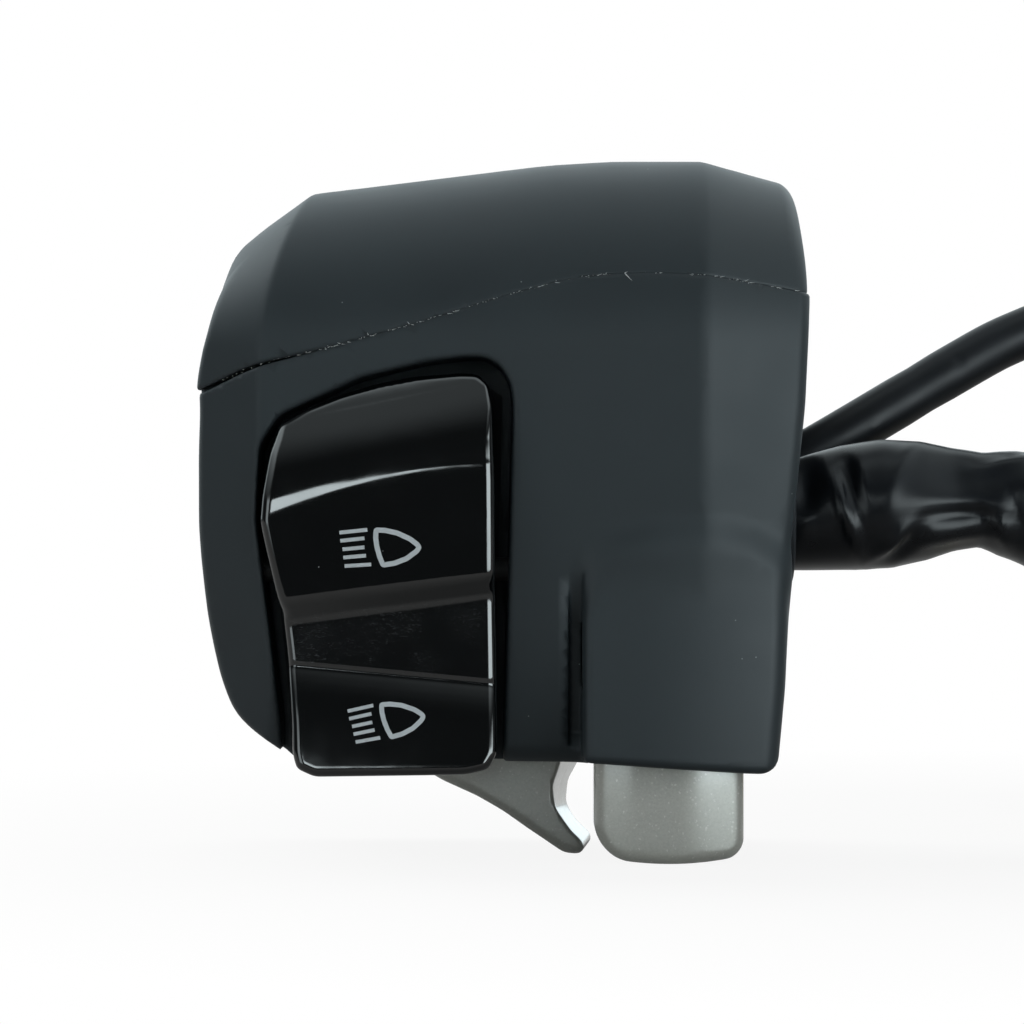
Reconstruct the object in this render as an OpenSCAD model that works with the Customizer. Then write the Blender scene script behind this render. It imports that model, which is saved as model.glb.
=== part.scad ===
// Handlebar switch cluster for the left end of a motorbike handlebar, in millimetres.
// X runs along the bar towards the middle of the bike, -Y faces the rider and Z is up.
// The origin lies on the axis of the bar.

/* [Handlebar clamp] */
// Diameter of the handlebar
bar_d = 22.2; // [21.4:0.1:23]
// Gap between shells at the split lines
split_gap = 0.2; // [0.1:0.05:0.4]
// Thread diameter of the clamp screws
clamp_screw_d = 4; // [3.5:0.1:4.4]
// Distance of the clamp screws behind the bar's axis
clamp_screw_y = 14.8; // [14.6:0.1:15.2]

/* [Housing] */
// Height of the dome above the bar's axis
dome_top = 17.4; // [17:0.1:20]
// Drop of the base below the bar's axis
base_drop = 46; // [45.6:0.1:48]
// Reach of the rider's face in front of the bar's axis
face_reach = 20.6; // [20.4:0.1:22]
// Reach of the back behind the bar's axis
back_reach = 20; // [19.8:0.1:22]
// Thickness of the walls round the switch cavity
wall = 2.4; // [2:0.1:2.8]
// Thickness of the wall behind the rocker
floor_t = 1.5; // [1.2:0.1:1.9]
// Thread diameter of the back cover's screws
cover_screw_d = 3; // [2.5:0.1:3.4]

/* [Beam rocker] */
// Diameter of the rocker's pivot pin
rocker_pin_d = 2.4; // [2:0.1:2.8]
// Width of the stem that drives the beam slider
rocker_stem_w = 4; // [3:0.1:5]
// Thickness of the dust seal under the rocker
seal_t = 0.7; // [0.5:0.1:0.9]

/* [Signal lever] */
// Thickness of the lever along the pivot
lever_t = 12; // [10:0.5:12.4]
// Diameter of the lever's pivot pin
lever_pin_d = 3; // [2.5:0.1:4]
// Distance from the pivot up to the lever's drive tip
lever_arm = 10.6; // [10.2:0.1:11]

/* [Horn button] */
// Width of the push block
button_w = 15; // [12:0.2:15.6]
// Depth of the push block from front to back
button_d = 7.4; // [6.4:0.1:7.6]
// Length of the block that stands below the base
button_out = 8.7; // [7:0.1:10]
// Travel of the push block
button_travel = 2.5; // [2:0.1:3]

/* [Contacts] */
// Diameter of the detent balls
ball_d = 2.4; // [2:0.1:2.5]
// Thickness of the contact strips
strip_t = 0.6; // [0.4:0.05:0.7]

/* [Leads] */
// Outer diameter of the harness sleeve
sleeve_d = 12; // [11:0.2:12.4]
// Outer diameter of the clutch switch lead
lead_d = 5.5; // [5:0.1:6]

/* [Hidden] */
$fn = 48;

// Colours as the object shows them
charcoal = "#2e3335";
gloss_black = "#0d0e10";
flake_grey = "#8c8c86";
steel = "#b4b8bc";
brass = "#b08d4a";
phenolic = "#4a3426";
nylon = "#d8d4c8";
rubber = "#17191b";
vinyl = "#0f1114";

// Clearances
slide_gap = 0.2;
run_gap = 0.3;
pin_fit = 0.05;
press_fit = 0.02;
hole_gap = 0.3;
seat_gap = 0.1;
past = 1;

// Levels and planes of the housing
bar_r = bar_d / 2;
base_z = -base_drop;
dome_z = -2.8;
front_lean = 4.5;
back_lean = 3;
base_round = 2.5;
ceiling_z = -(bar_r + wall);
lip_y = -(bar_r + 1.9);
lip_relief = 0.3;
pocket_y = -11;
cavity_y = pocket_y + floor_t;
cover_y = 13.5;
cover_z = ceiling_z - 1;
reach = 60;

// Sections of the housing: place on the bar, drop of crown, rise of base, setback of face and of back
stations = [
    [-32.2, 22.9, 26.6, 5.4, 5.8],
    [-31.8, 19, 22.5, 4.3, 4.8],
    [-31, 14.3, 16.6, 3.2, 3.6],
    [-29.6, 11, 10.3, 2.2, 2.5],
    [-27.2, 7.8, 5.2, 0.8, 0.9],
    [-20.8, 3.2, 1.1, 0.2, 0],
    [3.6, 0.1, 0.4, 0, 0],
    [19.8, 0, 0, 0.1, 0],
    [29.2, 2.9, 0.6, 3.1, 3],
    [29.9, 6.4, 0.8, 3.5, 3.3],
    [30.4, 11.6, 1.2, 4.1, 3.9]];

// Right end of the housing, from the crown down to the base, as x and z
right_end = [[30, 30], [30, 8], [30.2, 4], [29.5, -8.4], [28.3, -25], [27.6, -37], [26.3, -50]];

// Split line of the two shells on the rider's face, as x and z
split_points = [[-40, -9.5], [-31.2, -7], [-26.5, -4.7], [-19.2, -3], [-9.2, -0.2], [0, 2.7], [6, 4.3],
    [10.8, 4.8], [18.8, 4.7], [29.6, 3], [40, 0.5]];

// Tongue of the upper shell and the hollows that ease it over the bar
tongue_x = [5, 17];
tongue_y = [-17, -15.4];
tongue_z = [1.6, 7];
relief_x = [[-13, -3], [3, 11]];

// Boss round the push block
boss_x = [7, 19.8, 26.5];
boss_setback = 2.5;
boss_spread = 2;
boss_round = 2;
boss_top_z = -20;
boss_foot_reach = 0.8;
boss_top_sink = 1.3;
boss_back_y = -9;

// Pocket of the rocker: left side upwards, the curved top edge, then the right side
pocket_left = [[-22.9, -50], [-23.4, -40], [-25.7, -20], [-25.2, -12.4]];
pocket_top = [[-25.2, -12.4], [-23.2, -9.2], [-15.2, -5.6], [-4.4, -3.6], [-1.4, -4.2], [0.2, -7]];
pocket_right = [[-1.1, -50]];

// Outline of the switch cavity
cavity_outline = [[-29.5, ceiling_z], [-29.8, -24], [-27.8, -33], [-25, base_z + wall + 3.6],
    [-21, base_z + wall + 0.9], [24.8, base_z + wall], [27, ceiling_z]];

// Pins of the rocker and the lever
rocker_pin_y = 5.6 - face_reach;
rocker_pin_z = -25;
rocker_pin_r = rocker_pin_d / 2;
rocker_hub_r = rocker_pin_r + 1.4;
rocker_pin_x = [-28, 3];
rocker_hub_x = [-22, -3];
window_half = 4;
lever_x = 0;
lever_z = -34;
lever_pin_y = [pocket_y + 0.5, cover_y - 1.1];
slot_half = 11.8;
lever_pin_r = lever_pin_d / 2;
lever_hub_r = lever_pin_r + 2.7;
lever_boss_r = lever_pin_r + 1.9;

// Drive of the beam slider
beam_tip_y = -3.4;
tip_r = 1.5;
stem_t = 2.2;
beam_half_w = 6.5;
signal_half_x = 7.8;
beam_x = lever_x - signal_half_x - slide_gap - beam_half_w;
beam_wall = 1.5;
beam_plate_y = 2;
beam_plate_t = 2;
beam_z = [-35, -15];
beam_slider_h = 12;
beam_slider_back = 1;
beam_slider_y = -4.5;
beam_tail = 4;
beam_bridge = [2.6, 5];
contact_gap = 0.25;
wire_d = 2;
terminal_half = 1;
detent_depth = 6;
detent_wire = 0.4;

// Drive of the signal slider
signal_tip_z = lever_z + lever_arm;
signal_y = [-6.5, 7];
signal_wall = 1.5;
signal_plate_t = 2;
signal_plate_z = signal_tip_z + 2.9;
signal_half_slider = 5;
signal_foot_z = signal_tip_z - 4.6;
signal_stem_y = 2;
signal_row_y = 1.5;
wire_room = 1.1;
signal_tail = ceiling_z - wire_d - wire_room - signal_plate_z - signal_plate_t;
signal_bridge = [4.4, 1.3];
signal_post_x = [-6, 3];
signal_post = [3, 2.5];
signal_post_y = 4;

// Push block and its guide
button_x = 15.8;
button_front_y = 2.2 - face_reach;
button_back_y = button_front_y + button_d;
button_round = 2.2;
flange_t = 1.4;
flange_side = 0.9;
guide_top_z = -37;
horn_front_y = 3 - face_reach;
horn_plate_z = -28;
horn_plate_t = 2;
horn_top_z = ceiling_z - 0.5;
spring_r = 3.3;
spring_wire = 0.8;
spring_y = (horn_front_y + cavity_y) / 2;
horn_bridge = [7.4, 2];
horn_terminal_out = 6;
horn_tail = 2;
horn_post_x = [-3.8, 1.2];
horn_post = [2.6, 2];

// Screws: x, z and front of the boss for each screw of the cover
clamp_screw_x = [-17, 15];
clamp_seat_z = 4.2;
head_share = 0.875;
head_h_share = 0.65;
socket_share = 0.48;
insert_wall = 0.8;
insert_len = 9;
screw_len = 7.5;
cover_screw_at = [[beam_x - beam_half_w - 4, -20, cavity_y - past], [-24, -38, cavity_y - past],
    [24, -31, cavity_y + run_gap], [21.5, -41, cavity_y - past]];
cover_boss_r = cover_screw_d / 2 + 1.6;
cover_seat_y = cover_y + 2.2;
cover_grip = 8;

// Leads: places where they leave the right end wall
grommet_wall = 0.8;
grommet_lip = 1.4;
grommet_len = 2.4;
grommet_foot = 1.5;
inner_x = 20;
seat_x = 26.9;
sleeve_y = -3;
sleeve_z = ceiling_z - 0.4 - sleeve_d / 2;
lead_y = 9.2;
lead_z = ceiling_z - 1.6;

// Route of the harness sleeve from the housing to its connector
table_z = base_z - button_out;
sleeve_lay = table_z + sleeve_d / 2;
sleeve_route = [[26.2, sleeve_y, sleeve_z], [34, sleeve_y, sleeve_z], [42, -3, -19.9], [50, -2.6, -20.4],
    [57, -1.4, -22.8], [63.5, 0.4, -27.4], [70, 2.8, -33.8], [77, 6, -40.4], [85, 9.6, -45.8],
    [94, 12.8, -48.4], [104, 14.6, sleeve_lay], [116, 18.4, sleeve_lay], [126, 25.4, sleeve_lay],
    [133, 35.6, sleeve_lay], [135.4, 47.8, sleeve_lay], [133, 60, sleeve_lay], [126.4, 70.6, sleeve_lay],
    [116.6, 78.2, sleeve_lay], [104.8, 81.8, sleeve_lay], [92.6, 80.8, sleeve_lay], [81.6, 75.6, sleeve_lay],
    [73.8, 66.6, sleeve_lay], [70.4, 55.4, sleeve_lay], [70, 48, sleeve_lay], [70, 44, sleeve_lay]];

// Route of the clutch switch lead from the housing to its connector
lead_lay = table_z + lead_d / 2;
lead_route = [[26.2, lead_y, lead_z], [29.8, lead_y, lead_z], [34, 9.8, -12.8], [40, 11.2, -9.3],
    [46.5, 13.2, -5.5], [53, 15.2, -1.9], [60, 17, 1], [67.5, 18.2, 2.1], [75, 18.6, 0.9], [81.5, 18, -3.2],
    [86.5, 16, -10], [90, 12.8, -18.5], [92.8, 8.6, -27.5], [96, 3.6, -36.5], [100.6, -2.2, -44.6],
    [107, -8.2, -50.2], [114.4, -13.4, lead_lay], [118, -15.8, lead_lay]];
harness_plug = [18, 26, 13];
harness_neck = 5;
harness_way_x = [-6, -2, 2, 6];
harness_way_z = [4, 9];
lead_plug = [15, 8.4, 7];
lead_neck = 3;
lead_way_y = [-2, 2];
lead_way_z = 3.5;
way_half = 1;
way_depth = 3;
neck_wall = 0.6;
latch_half = 2.6;
latch_h = 1.2;

// Smooth curve through a list of points, with n steps a span
function blend(a, b, c, d, t) = 0.5 * (2 * b + (c - a) * t + (2 * a - 5 * b + 4 * c - d) * t * t
    + (3 * b - a - 3 * c + d) * t * t * t);
function smooth(p, n) = let (last = len(p) - 1) concat(
    [for (i = [0 : last - 1]) for (k = [0 : n - 1])
        blend(p[max(i - 1, 0)], p[i], p[i + 1], p[min(i + 2, last)], k / n)],
    [p[last]]);
function unit(v) = v / norm(v);
function arc(c, r, from, to, n) = [for (k = [0 : n]) let (t = from + (to - from) * k / n)
    [c[0] + r * cos(t), c[1] + r * sin(t)]];

// Skin over rings of points: each ring turns anticlockwise seen from the end that the rings run towards
module skin(rings) {
    n = len(rings[0]);
    last = len(rings) - 1;
    mid = function(ring) [for (k = [0 : 2]) [for (p = ring) p[k]] * [for (p = ring) 1] / n];
    points = concat([for (ring = rings) each ring], [mid(rings[0]), mid(rings[last])]);
    first_mid = len(points) - 2;
    sides = [for (i = [0 : last - 1]) for (k = [0 : n - 1])
        let (a = i * n + k, b = i * n + (k + 1) % n, c = b + n, d = a + n) each [[a, d, c], [a, c, b]]];
    ends = [for (k = [0 : n - 1]) let (m = (k + 1) % n)
        each [[first_mid, k, m], [first_mid + 1, last * n + m, last * n + k]]];
    polyhedron(points, concat(sides, ends), convexity = 8);
}

// Round tube swept along a route
module tube(route, d, sides) {
    last = len(route) - 1;
    rings = [for (i = [0 : last])
        let (t = unit(route[min(i + 1, last)] - route[max(i - 1, 0)]),
            u = unit(cross([0, 0, 1], t)),
            v = cross(t, u))
        [for (k = [0 : sides - 1]) let (a = 360 * k / sides) route[i] + d / 2 * (u * cos(a) + v * sin(a))]];
    skin(rings);
}

// Coil spring along Z with flat-wound ends left out
module coil(r, wire, height, turns) {
    steps = 8 * turns;
    rise = height - wire;
    points = [for (i = [0 : steps]) let (a = 360 * turns * i / steps)
        [r * cos(a), r * sin(a), wire / 2 + rise * i / steps]];
    tube(points, wire * 0.96, 6);
}

// Cut or solid that runs along the depth, from an outline in x and z
module slab(outline, from, to) {
    translate([0, to, 0])
        rotate([90, 0, 0])
            linear_extrude(to - from)
                polygon(outline);
}

// Round bar along X, along Y, and a block between two corners
module rod_x(r, from, to, y, z) {
    translate([from, y, z])
        rotate([0, 90, 0])
            cylinder(r = r, h = to - from);
}
module rod_y(r, from, to, x, z) {
    translate([x, from, z])
        rotate([-90, 0, 0])
            cylinder(r = r, h = to - from);
}
module block(low, high) {
    translate(low)
        cube(high - low);
}

// One section of the housing, from the back over the crown and down the face
function section(s) =
    let (top = dome_top - s[1], bottom = base_z + s[2], front = s[3] - face_reach, back = back_reach - s[4],
        mid = min(dome_z, top - 6), low = mid - bottom, r = min(base_round, low / 3),
        share = low / (dome_z - base_z), lean_f = front_lean * share * share, lean_b = back_lean * share,
        end = 1 - r / low, foot_f = front + lean_f * end * end, foot_b = back - lean_b,
        centre = (front + back) / 2, half = (back - front) / 2)
    concat(
        [for (t = [0 : 9 : 180]) [s[0], centre + half * cos(t), mid + (top - mid) * sin(t)]],
        [for (k = [1 : 6]) let (u = end * k / 7) [s[0], front + lean_f * u * u, mid - low * u]],
        [for (p = arc([foot_f + r, bottom + r], r, 180, 270, 4)) [s[0], p[0], p[1]]],
        [for (p = arc([foot_b - r, bottom + r], r, 270, 360, 4)) [s[0], p[0], p[1]]],
        [for (k = [1 : 2]) [s[0], foot_b + lean_b * k / 3, bottom + r + (mid - bottom - r) * k / 3]]);

module body() {
    intersection() {
        skin([for (s = stations) section(s)]);
        slab(concat([[-reach, -50], [-reach, 30]], right_end), -reach, reach);
    }
}

// One level section of the boss, drawn in at its rounded foot
function boss_ring(z, inset) =
    let (share = (z - base_z) / (boss_top_z - base_z), r = boss_round,
        front = -face_reach - boss_foot_reach * (1 - share) + boss_top_sink * share + inset,
        left = boss_x[0] + inset, right = boss_x[2] + boss_spread * share - inset,
        side = front + boss_setback)
    concat([[right, boss_back_y, z], [left, boss_back_y, z]],
        [for (p = arc([left + r, front + r], r, 180, 270, 5)) [p[0], p[1], z]],
        [[boss_x[1], front, z]],
        [for (p = arc([right - r, side + r], r, 285, 360, 4)) [p[0], p[1], z]]);

module boss() {
    foot_r = 1.6;
    skin(concat([for (a = [0 : 30 : 90]) boss_ring(base_z + foot_r * (1 - cos(a)), foot_r * (1 - sin(a)))],
        [boss_ring(boss_top_z, 0)]));
}

module bar_bore() {
    rod_x(bar_r, -reach, reach, 0, 0);
}

// Space above the split (side 1) or below it (side -1), stepped on the rider's face and flat round the bar
module split_side(side) {
    gap = side * split_gap / 2;
    relief = gap + side * lip_relief;
    line = smooth(split_points, 5);
    far = [[reach, side * reach * 2], [-reach, side * reach * 2]];
    inner = [for (p = line) [p[0], side * max(side * p[1], 0) + relief]];
    slab(concat([for (p = line) p + [0, gap]], far), -reach, lip_y - split_gap / 2);
    slab(concat(inner, far), lip_y - past, lip_y + past);
    slab(concat([[-reach, gap], [reach, gap]], far), lip_y + split_gap / 2, reach);
}

// Space of the back cover
module behind_cover(gap) {
    block([-reach, cover_y + gap, -reach * 2], [reach, reach, cover_z - gap]);
}

// Tongue that hooks the upper shell into the lower one behind the rider's face
module tongue(gap) {
    block([tongue_x[0] - gap, tongue_y[0] - gap, tongue_z[0] - gap],
        [tongue_x[1] + gap, tongue_y[1] + gap, tongue_z[1]]);
}

module upper_shell() {
    head_r = clamp_screw_d * head_share + hole_gap;
    color(charcoal)
        difference() {
            union() {
                intersection() {
                    body();
                    split_side(1);
                }
                tongue(0);
            }
            bar_bore();
            for (x = clamp_screw_x) {
                translate([x, clamp_screw_y, -past])
                    cylinder(r = clamp_screw_d / 2 + hole_gap, h = reach);
                translate([x, clamp_screw_y, clamp_seat_z])
                    cylinder(r = head_r, h = reach);
            }
            for (x = relief_x)
                rod_x(bar_r + wall, x[0], x[1], 0, 0);
        }
}

module lower_shell() {
    pocket = concat(pocket_left, smooth(pocket_top, 4), pocket_right);
    guide_half = button_w / 2 + slide_gap;
    chamber_half = button_w / 2 + flange_side + run_gap;
    insert_r = clamp_screw_d / 2 + insert_wall;
    color(charcoal)
        difference() {
            union() {
                difference() {
                    union() {
                        intersection() {
                            body();
                            split_side(-1);
                        }
                        boss();
                    }
                    behind_cover(-split_gap / 2);
                    bar_bore();
                    tongue(slide_gap);
                    slab(pocket, -reach, pocket_y);
                    slab(cavity_outline, cavity_y, reach);
                    block([button_x - chamber_half, horn_front_y, guide_top_z],
                        [button_x + chamber_half, cavity_y + past, horn_top_z]);
                }
                for (p = cover_screw_at)
                    rod_y(cover_boss_r, p[2], cover_y - split_gap / 2, p[0], p[1]);
                rod_y(lever_boss_r, cavity_y - past, -lever_t / 2 - run_gap, lever_x, lever_z);
            }
            block([button_x - guide_half, button_front_y - slide_gap, base_z - past],
                [button_x + guide_half, button_back_y + slide_gap, contact_z + button_travel + run_gap]);
            block([lever_x - slot_half, -lever_t / 2 - 2 * run_gap, base_z - past],
                [lever_x + slot_half, lever_t / 2 + 2 * run_gap, base_z + 2 * wall]);
            block([beam_x - rocker_stem_w / 2 - 2 * run_gap, pocket_y - past, rocker_pin_z - window_half],
                [beam_x + rocker_stem_w / 2 + 2 * run_gap, cavity_y + past, rocker_pin_z + window_half]);
            rod_x(rocker_pin_r + press_fit, rocker_pin_x[0], rocker_pin_x[1], rocker_pin_y, rocker_pin_z);
            rod_y(lever_pin_r + press_fit, lever_pin_y[0] - slide_gap, 0, lever_x, lever_z);
            for (x = clamp_screw_x)
                translate([x, clamp_screw_y, -insert_len - hole_gap])
                    cylinder(r = insert_r + press_fit, h = reach);
            for (p = cover_screw_at)
                rod_y(cover_screw_d / 2 + press_fit, cover_y - cover_grip - past, reach, p[0], p[1]);
            grommet_hole(sleeve_d, sleeve_y, sleeve_z);
            grommet_hole(lead_d, lead_y, lead_z);
        }
}

module back_cover() {
    boss_end_y = cover_y + wall / 2 + 0.4;
    color(charcoal)
        difference() {
            union() {
                difference() {
                    intersection() {
                        body();
                        behind_cover(split_gap / 2);
                    }
                    intersection() {
                        slab(cavity_outline, cover_y - past, cover_y + wall / 2);
                        block([-reach, -reach, -reach], [reach, reach, cover_z - wall]);
                    }
                    for (p = cover_screw_at)
                        rod_y(cover_screw_d * head_share + hole_gap, cover_seat_y, reach, p[0], p[1]);
                }
                for (p = cover_screw_at)
                    rod_y(cover_boss_r, cover_y + split_gap / 2 + seat_gap, boss_end_y, p[0], p[1]);
                rod_y(lever_boss_r, lever_t / 2 + run_gap, boss_end_y, lever_x, lever_z);
            }
            for (p = cover_screw_at)
                rod_y(cover_screw_d / 2 + slide_gap, -past, reach, p[0], p[1]);
            rod_y(lever_pin_r + press_fit, 0, lever_pin_y[1] + slide_gap, lever_x, lever_z);
        }
}

// Socket-head screw that stands on its seat, head up
module screw(d, grip) {
    head_h = d * head_h_share;
    difference() {
        union() {
            cylinder(r = d * head_share, h = head_h);
            translate([0, 0, -grip])
                cylinder(r = d / 2 - press_fit, h = grip + head_h / 2);
        }
        translate([0, 0, head_h * 0.4])
            cylinder(r = d * socket_share, h = head_h, $fn = 6);
    }
}

module clamp_screws() {
    color(steel)
        for (x = clamp_screw_x)
            translate([x, clamp_screw_y, clamp_seat_z])
                screw(clamp_screw_d, clamp_seat_z + screw_len);
}

module thread_inserts() {
    color(brass)
        for (x = clamp_screw_x)
            translate([x, clamp_screw_y, -insert_len - split_gap / 2])
                difference() {
                    cylinder(r = clamp_screw_d / 2 + insert_wall, h = insert_len);
                    translate([0, 0, -past])
                        cylinder(r = clamp_screw_d / 2, h = insert_len + 2 * past);
                }
}

module cover_screws() {
    color(steel)
        for (p = cover_screw_at)
            translate([p[0], cover_seat_y, p[1]])
                rotate([-90, 0, 0])
                    screw(cover_screw_d, cover_seat_y - cover_y + cover_grip);
}

// Outline of the rocker over its pads: z at left and right, depth from the pin, x at left and right
rocker_line = [
    [-10.8, -7.6, 0.8, -23, -3.4],
    [-10.2, -6.2, -1, -23.2, -3],
    [-11.2, -6.6, -3, -23.4, -2.7],
    [-12.8, -8.2, -4.5, -23.9, -2.4],
    [-16.1, -12, -7.3, -24.5, -2.2],
    [-18.2, -14.7, -8.6, -24.8, -2.1],
    [-20.2, -15.9, -8.9, -24.8, -2.1],
    [-21.1, -16.6, -8.4, -24.7, -2.1],
    [-24.4, -21, -8.1, -24, -2.1],
    [-28, -26, -8, -23.2, -2],
    [-29.9, -28, -7.2, -22.8, -2],
    [-30.4, -28.6, -6.7, -22.7, -2],
    [-34, -36, -6.5, -22.4, -1.9],
    [-37, -38.8, -7.1, -22.1, -1.9],
    [-40, -41.3, -7.4, -21.9, -1.8],
    [-43, -43.4, -7.2, -21.8, -1.7],
    [-45, -45, -6, -21.8, -1.8],
    [-45.7, -45.6, -3.8, -21.8, -1.9],
    [-45, -45, -0.4, -21.8, -2],
    [-43.6, -43.6, 0.8, -21.8, -2]];

module beam_rocker() {
    stem_x = [beam_x - rocker_stem_w / 2, beam_x + rocker_stem_w / 2];
    round_in = 0.9;
    shrink = 0.06;
    shares = [0 : 0.25 : 1];
    ring = function(u, tight, push)
        let (raw = [for (p = rocker_line)
                [p[3] + (p[4] - p[3]) * u + push, rocker_pin_y + p[2], p[0] + (p[1] - p[0]) * u]],
            mid = [0, rocker_pin_y - rocker_hub_r, rocker_pin_z])
        [for (p = raw) [p[0], p[1] + (mid[1] - p[1]) * tight, p[2] + (mid[2] - p[2]) * tight]];
    rings = concat([ring(0, shrink, 0)], [for (u = shares) ring(u, 0, round_in * (1 - 2 * u))],
        [ring(1, shrink, 0)]);
    color(gloss_black)
        difference() {
            union() {
                skin(rings);
                rod_x(rocker_hub_r, rocker_hub_x[0], rocker_hub_x[1], rocker_pin_y, rocker_pin_z);
                block([stem_x[0], rocker_pin_y, rocker_pin_z - stem_t / 2],
                    [stem_x[1], beam_tip_y, rocker_pin_z + stem_t / 2]);
                rod_x(tip_r, stem_x[0], stem_x[1], beam_tip_y, rocker_pin_z);
            }
            rod_x(rocker_pin_r + pin_fit, -reach, reach, rocker_pin_y, rocker_pin_z);
        }
}

module rocker_pivot_pin() {
    color(steel)
        rod_x(rocker_pin_r, rocker_pin_x[0], rocker_pin_x[1], rocker_pin_y, rocker_pin_z);
}

// Outline of the dust seal, as x and z
seal_outline = [[-22.2, -44], [-24.6, -20], [-23.6, -12.8], [-15, -7.4], [-4.2, -5.2], [-1, -7.4],
    [-1.9, -44]];

module rocker_dust_seal() {
    half_x = rocker_stem_w / 2 + 2 * run_gap + slide_gap;
    half_z = window_half + slide_gap;
    color(rubber)
        difference() {
            slab(seal_outline, pocket_y - seal_t, pocket_y);
            block([beam_x - half_x, pocket_y - reach, rocker_pin_z - half_z],
                [beam_x + half_x, reach, rocker_pin_z + half_z]);
        }
}

// Beam switch: frame behind the rocker, slider, moving contact, detent and terminals
beam_terminal_z = [-29.8, -25, -20.2];
beam_ball_z = rocker_pin_z + 3.8;
beam_ball_y = (beam_slider_y + beam_slider_back) / 2;
beam_side_x = beam_x - beam_half_w + beam_wall + run_gap;

module beam_switch_base() {
    color(phenolic)
        difference() {
            union() {
                block([beam_x - beam_half_w, beam_plate_y, beam_z[0]],
                    [beam_x + beam_half_w, beam_plate_y + beam_plate_t, beam_z[1]]);
                for (side = [-1, 1])
                    translate([beam_x + side * (beam_half_w - beam_wall / 2), 0, 0])
                        block([-beam_wall / 2, cavity_y, beam_z[0]],
                            [beam_wall / 2, beam_plate_y + beam_plate_t, beam_z[1]]);
            }
            for (z = beam_terminal_z)
                beam_terminal(z, press_fit);
        }
}

module beam_terminal(z, gap) {
    block([beam_x - terminal_half - gap, beam_plate_y - gap, z - strip_t - gap],
        [beam_x + terminal_half + gap, beam_plate_y + beam_plate_t + beam_tail, z + strip_t + gap]);
}

module beam_terminals() {
    color(brass)
        for (z = beam_terminal_z)
            beam_terminal(z, 0);
}

module beam_slider() {
    high_x = beam_x + beam_half_w - beam_wall - run_gap;
    slot_x = rocker_stem_w / 2 + 2 * slide_gap;
    slot_z = tip_r + slide_gap;
    color(nylon)
        difference() {
            block([beam_side_x, beam_slider_y, rocker_pin_z - beam_slider_h / 2],
                [high_x, beam_slider_back, rocker_pin_z + beam_slider_h / 2]);
            block([beam_x - slot_x, beam_slider_y - past, rocker_pin_z - slot_z],
                [beam_x + slot_x, beam_tip_y + tip_r + 2 * slide_gap, rocker_pin_z + slot_z]);
            rod_x(ball_d / 2 + slide_gap / 2, beam_side_x - past, beam_side_x + detent_depth, beam_ball_y,
                beam_ball_z);
        }
}

module beam_contact() {
    color(brass)
        block([beam_x - beam_bridge[0], beam_slider_back, rocker_pin_z - beam_bridge[1]],
            [beam_x + beam_bridge[0], beam_plate_y - contact_gap, rocker_pin_z + beam_bridge[1]]);
}

module beam_detent_ball() {
    color(steel)
        translate([beam_side_x - run_gap + seat_gap + ball_d / 2, beam_ball_y, beam_ball_z])
            sphere(d = ball_d);
}

module beam_detent_spring() {
    from = beam_side_x - run_gap + seat_gap + ball_d + seat_gap;
    to = beam_side_x + detent_depth - seat_gap;
    color(steel)
        translate([from, beam_ball_y, beam_ball_z])
            rotate([0, 90, 0])
                coil(ball_d / 2 - detent_wire, detent_wire, to - from, 3);
}

// Hook lever: outline of the blade from the hub down the thumb hollow to the tip and back up the slanted edge
lever_outline = [[4, -35.5], [6.7, -42.5], [6, -45.4], [5.7, -47.6], [6.1, -49.6], [7, -51.4],
    [8.2, -52.7], [9, -53.9], [8.2, -54.8], [6.2, -54.7], [4.4, -53.7], [0.6, -51.4], [-4, -48.7],
    [-8.4, -46.1], [-9, -44.6], [-7.6, -41], [-3.9, -35.5]];
lever_flare = 2;

module signal_lever() {
    half = lever_t / 2;
    ring = function(y, flare) [for (p = lever_outline)
        [lever_x + p[0] + (p[0] > lever_hub_r ? flare : 0), y, p[1]]];
    color(flake_grey)
        difference() {
            union() {
                skin([ring(-half, 0), ring(half, lever_flare)]);
                rod_y(lever_hub_r, -half, half, lever_x, lever_z);
                block([lever_x - stem_t / 2, -signal_stem_y, lever_z],
                    [lever_x + stem_t / 2, signal_stem_y, signal_tip_z]);
                rod_y(tip_r, -signal_stem_y, signal_stem_y, lever_x, signal_tip_z);
            }
            rod_y(lever_pin_r + pin_fit, -reach, reach, lever_x, lever_z);
        }
}

module lever_pivot_pin() {
    color(steel)
        rod_y(lever_pin_r, lever_pin_y[0], lever_pin_y[1], lever_x, lever_z);
}

// Signal switch: frame under the ceiling, slider, moving contact, detent and terminals
signal_terminal_x = [-4.5, 0, 4.5];
signal_top_z = signal_plate_z - 0.8;
signal_side_y = signal_y[0] + signal_wall + run_gap;
signal_ball_x = lever_x - 3.4;
signal_ball_z = signal_top_z - 2.4;

module signal_terminal(x, gap) {
    half = strip_t + gap;
    block([x - terminal_half - gap, signal_row_y - half, signal_plate_z - gap],
        [x + terminal_half + gap, signal_row_y + half, signal_plate_z + signal_plate_t + signal_tail]);
}

module signal_switch_base() {
    color(phenolic)
        difference() {
            union() {
                block([lever_x - signal_half_x, signal_y[0], signal_plate_z],
                    [lever_x + signal_half_x, signal_y[1], signal_plate_z + signal_plate_t]);
                for (y = [signal_y[0], signal_y[1] - signal_wall])
                    block([lever_x - signal_half_x, y, signal_foot_z],
                        [lever_x + signal_half_x, y + signal_wall, signal_plate_z + signal_plate_t]);
                for (x = signal_post_x)
                    block([x, signal_post_y, signal_plate_z],
                        [x + signal_post[0], signal_post_y + signal_post[1], ceiling_z]);
            }
            for (x = signal_terminal_x)
                signal_terminal(x, press_fit);
        }
}

module signal_terminals() {
    color(brass)
        for (x = signal_terminal_x)
            signal_terminal(x, 0);
}

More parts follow.
